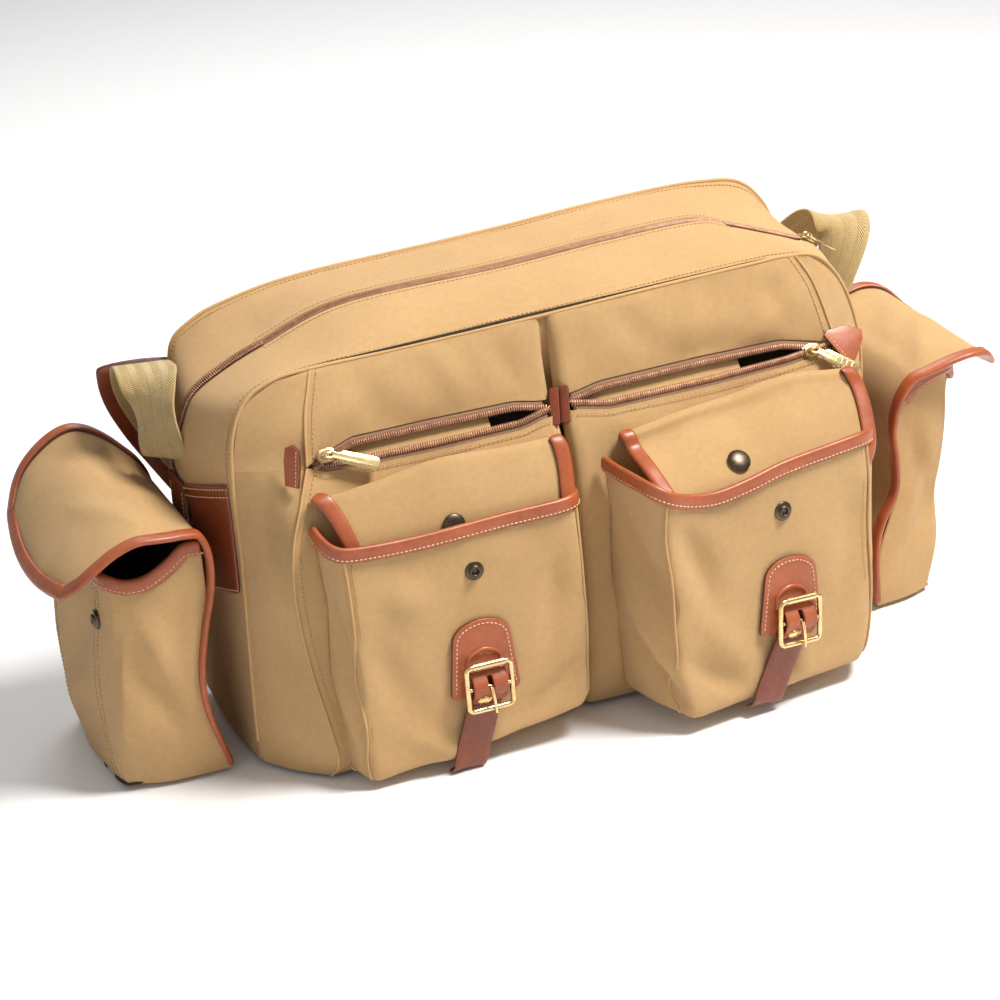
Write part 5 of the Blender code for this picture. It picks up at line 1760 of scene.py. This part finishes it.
def make_end_sheet(side):
    """The back panel that folds over into the open storm flap, with its leather edge and stitches."""
    body = "end_flap_" + side
    seed = 41 if side == "left" else 45
    rows = []
    for share in along(0.0, 1.0, 70):
        row = []
        for across in along(0.0, 1.0, 36):
            p = sheet_spot(side, share, across)
            flap = min(1.0, max(0.0, share - 0.4) * 4)
            edge = min(1.0, across * 7, (1 - across) * 7)
            folds = 1.3 * rumple(p, 48.0, seed) + creased(p, FLAP_CREASES[side])
            row.append(p + sheet_normal(side, share, across) * flap * edge * folds)
        rows.append(row)
    sheet = cloth("end_storm_" + side, rows, end_spot(side, 40, 8, 100), [CANVAS, LINING], CANVAS_THICK)
    bend(sheet, ["end_flap_" + side])
    edge, inward, ups = [], [], []
    steps = 90
    for share in along(0.0, 1.0, steps):
        edge.append(sheet_spot(side, share, 0.0))
        inward.append(Vector((0, 1, 0)))
        ups.append(sheet_normal(side, share, 0.04))
    tip_in = (sheet_spot(side, 0.97, 0.5) - sheet_spot(side, 1.0, 0.5)).normalized()
    for across in along(0.0, 1.0, 36)[1:-1]:
        edge.append(sheet_spot(side, 1.0, across))
        lean = Vector((0, 1, 0)) * (1 - 2 * across) * max(0.0, abs(across - 0.5) * 2 - 0.6) * 4
        inward.append((tip_in + lean).normalized())
        ups.append(sheet_normal(side, 0.99, across))
    for share in along(1.0, 0.0, steps):
        edge.append(sheet_spot(side, share, 1.0))
        inward.append(Vector((0, -1, 0)))
        ups.append(sheet_normal(side, share, 0.96))
    rim = edge_binding("end_storm_rim_" + side, edge, inward, 8.4, 4.6)
    bend(rim, ["end_flap_binding_" + side])
    sewn = [p + i * 5.2 + up * 1.9 for p, i, up in zip(edge, inward, ups)]
    bend(stitches("end_storm_thread_" + side, sewn, ups, THREAD, 3.0, 0.85))
    cap_y = Span("end_snap_cap_" + side).middle.y
    count = len(END_SHEET[side]) - 1
    low, high = END_SHEET[side][count - 1][2:]
    share, across = (count - 1.3) / count, (cap_y - low) / (high - low)
    out = sheet_normal(side, share, across)
    right = Vector((0, 1, 0)) - out * out.y
    axes = (right.normalized(), out.cross(right).normalized(), out)
    make_cap("end_snap_cap_" + side, sheet_spot(side, share, across) + out * 2.4, axes, body)


def make_end_band(side):
    """The leather panel across each end of the bag, with a riveted tab that holds the sling."""
    span = Span("end_band_" + side)
    sign = OUTWARD[side]
    rows = []
    for z in along(span.z0, span.z1 + 14, 12):
        share = z / 160 * 3 / LAST if side == "left" else 1 - z / 165 * 3 / LAST
        wall = curve_at(OUTLINES[1], share)
        edge_wall = curve_at(OUTLINES[0], share)
        row = []
        for y in along(-57.0, 58.0, 24):
            x = wall.x + (edge_wall.x - wall.x) * (abs(y) / 60) ** 2
            row.append(Vector((x + sign * 2.6, y, z + max(0.0, -y) * 0.28)))
        rows.append(row)
    band = cloth("end_leather_" + side, rows, BODY_CENTRE, [DARK_LEATHER, CUT_EDGE], 2.4)
    settle(band, replaces=["end_band_" + side])
    out = Vector((sign, 0, 0))
    for k, row in enumerate((rows[0], rows[-1], rows[-2])):
        lean = Vector((0, 0, 3.0 if k == 0 else (-3.0 if k == 1 else -2.0)))
        path = [p + lean + out * 0.5 for p in row]
        settle(stitches(f"end_leather_thread_{side}_{k}", path, [out] * len(path), THREAD, 3.2, 0.8))
    make_sling_tab(side, rows[8][13], out)


def make_sling_tab(side, spot, out):
    """The rounded tab over the end band, with its dome rivet, that the sling is sewn to."""
    axes = (Vector((0, OUTWARD[side], 0)), Vector((0, 0, 1)), out)
    outline = [*arc((0, -18), 15, 180, 360, 14), (15, 26), (-15, 26)]
    tab = plate("sling_tab_" + side, [outline], spot + out * 2.2, axes, 2.6, [DARK_LEATHER, CUT_EDGE], 0.6)
    settle(tab)
    sewn_line = [(15, 26), *outline[:15][::-1], (-15, 26)]
    sewn = [on_face(spot, axes, a * 0.8, b * 0.8 - 2, 3.6) for a, b in sewn_line]
    settle(stitches("sling_tab_thread_" + side, sewn, [out] * len(sewn), THREAD, 3.0, 0.8))
    dome = ((0.0, 3.4), (2.0, 3.1), (3.8, 2.2), (5.0, 0.8), (5.2, 0.0), (0.0, 0.0))
    rivet = turned("sling_rivet_" + side, dome, on_face(spot, axes, 0, -8, 3.2), axes, BRASS, 32)
    settle(rivet)


# --- sling ---------------------------------------------------------------------------------------

SLING = (
    ((220.5, 20, 98), (0, 1, 0)), ((221.5, 20, 130), (0, 1, 0)), ((232.0, 21, 168), (0, 1, 0)),
    ((244.0, 23, 200), (-0.1, 1, 0)), ((256.0, 27, 226), (-0.3, 0.9, 0)),
    ((264.0, 36, 243), (-0.6, 0.7, 0)), ((262.0, 52, 247), (-0.9, 0.3, 0.1)),
    ((250.0, 66, 236), (-0.85, 0, 0.4)), ((235.0, 74, 214), (-0.8, 0, 0.55)),
    ((214.0, 77, 172), (-0.85, 0, 0.5)), ((178.0, 77, 122), (-0.75, 0, 0.65)),
    ((120.0, 78, 80), (-0.5, 0, 0.85)), ((50.0, 78, 56), (-0.2, 0, 1)), ((-30.0, 78, 52), (0.1, 0, 1)),
    ((-105.0, 78, 74), (0.45, 0, 0.9)), ((-165.0, 78, 122), (0.7, 0, 0.7)),
    ((-204.0, 76, 178), (0.85, 0, 0.5)), ((-223.0, 72, 214), (0.9, 0, 0.4)),
    ((-228.0, 62, 234), (0.9, -0.3, 0.2)), ((-230.0, 42, 242), (0.8, -0.5, 0)),
    ((-232.0, 21, 238), (0.6, -0.8, 0)), ((-234.0, 9, 222), (0.35, -0.93, 0)),
    ((-234.5, 3, 206), (0.5, -0.85, 0)), ((-232.5, 1, 196), (0.6, -0.79, 0)),
    ((-229.0, 4, 195), (0.6, -0.79, 0)), ((-226.0, 8, 203), (0.6, -0.79, 0)),
)
PAD_STATIONS = slice(13, 19)


def strap_path(stations, spacing):
    """Even points along a strap's route, with the way its width runs at each."""
    centres = vectors([centre for centre, _ in stations])
    widths = vectors([width for _, width in stations])
    steps = 12 * (len(stations) - 1)
    fine = [curve_at(centres, i / steps) for i in range(steps + 1)]
    turns = [curve_at(widths, i / steps).normalized() for i in range(steps + 1)]
    path = even(fine, spacing)
    sides = [turns[min(range(len(fine)), key=lambda k: (fine[k] - p).length_squared)] for p in path]
    return path, sides


def strap_profile(width, thick, bulge=0.0):
    a, b = width / 2, thick / 2
    top = [(x, b + bulge * (1 - (x / a) ** 2)) for x in along(-a + 0.8, a - 0.8, 8)]
    return [(-a, -b * 0.5), (-a, b * 0.5), *top, (a, b * 0.5), (a, -b * 0.5), (a - 0.8, -b), (-a + 0.8, -b)]


def make_sling():
    path, sides = strap_path(SLING, 4.0)
    profile = strap_profile(38.0, 2.6)
    webbing = loft("sling_webbing", path, sides, profile, [WEBBING])
    settle(webbing, replaces=["shoulder_sling"])
    path, sides = strap_path(SLING[PAD_STATIONS], 4.0)
    ahead = tangents(path)
    normals = [t.cross((s - t * s.dot(t)).normalized()) for t, s in zip(ahead, sides)]
    lifted = [p + n * 4.5 for p, n in zip(path, normals)]
    rows = strap_profile(54.0, 4.0, 2.2)
    pad = loft("sling_cushion", lifted, sides, rows, [DARK_LEATHER, CUT_EDGE], (0, len(rows) - 4))
    settle(pad, replaces=["sling_pad"])
    for k, a in enumerate((-23.0, 23.0)):
        sewn = [p + s * a + n * 2.9 for p, s, n in zip(lifted, sides, normals)]
        settle(stitches(f"sling_thread_{k}", sewn, normals, THREAD, 3.4, 0.9))
    return pad


# --- stage ---------------------------------------------------------------------------------------

# Half the table's side in metres, the studio's even light, and each lamp's name, place and aim in
# metres, disk size, watts and colour.
TABLE_HALF = 6.0
STUDIO_LIGHT = 0.37
LIGHTS = (
    ("key", (0.75, -0.55, 1.8), (0.0, 0.0, 0.1), 0.6, 58.0, (1.0, 0.97, 0.93)),
    ("fill", (-1.6, -1.4, 1.0), (0.0, 0.0, 0.1), 1.2, 4.0, (0.95, 0.97, 1.0)),
    ("back", (0.4, 1.5, 1.5), (0.0, 0.0, 0.15), 1.0, 12.0, (1.0, 1.0, 1.0)),
)

def add_light(name, place, aim, size, power, colour):
    lamp = bpy.data.lights.new(name, "AREA")
    lamp.shape = "DISK"
    lamp.size = size
    lamp.energy = power
    lamp.color = colour
    obj = bpy.data.objects.new(name, lamp)
    obj.location = place
    obj.rotation_euler = (Vector(aim) - Vector(place)).to_track_quat("-Z", "Y").to_euler()
    bpy.context.scene.collection.objects.link(obj)


def make_stage():
    mesh = bpy.data.meshes.new("table")
    corners = [(x * TABLE_HALF, y * TABLE_HALF, 0) for x, y in ((-1, -1), (1, -1), (1, 1), (-1, 1))]
    mesh.from_pydata(corners, [], [(0, 1, 2, 3)])
    mesh.materials.append(floor_material())
    table = bpy.data.objects.new("table", mesh)
    bpy.context.scene.collection.objects.link(table)
    world = bpy.data.worlds.new("studio")
    bpy.context.scene.world = world
    world.use_nodes = True
    sky = world.node_tree.nodes["Background"]
    sky.inputs["Color"].default_value = (1.0, 1.0, 1.0, 1.0)
    sky.inputs["Strength"].default_value = STUDIO_LIGHT
    for light in LIGHTS:
        add_light(*light)
    bpy.context.scene.view_settings.view_transform = "Standard"


def make_camera():
    data = bpy.data.cameras.new("camera")
    data.lens = 107.2
    data.sensor_width = 36.0
    data.clip_end = 20.0
    camera = bpy.data.objects.new("camera", data)
    right = (0.92047552, -0.38561446, -0.06345326)
    up = (0.20849836, 0.34724352, 0.91430322)
    back = (-0.33053481, -0.85482363, 0.40002914)
    camera.matrix_world = placed((-658.35, -1668.22, 897.77), (right, up, back))
    bpy.context.scene.collection.objects.link(camera)
    bpy.context.scene.camera = camera


def main():
    make_walls()
    make_base()
    make_lip("front")
    make_lip("rear")
    make_main_slider()
    make_zip_tabs()
    for side in SIDES:
        make_end_cover(side)
        make_zipped_pocket(side)
        make_pocket_slider(side)
        make_dump_pocket(side)
        make_buckle(side)
        make_end_pouch(side)
        make_end_sheet(side)
        make_end_band(side)
    pad = make_sling()
    make_stage()
    make_camera()


main()
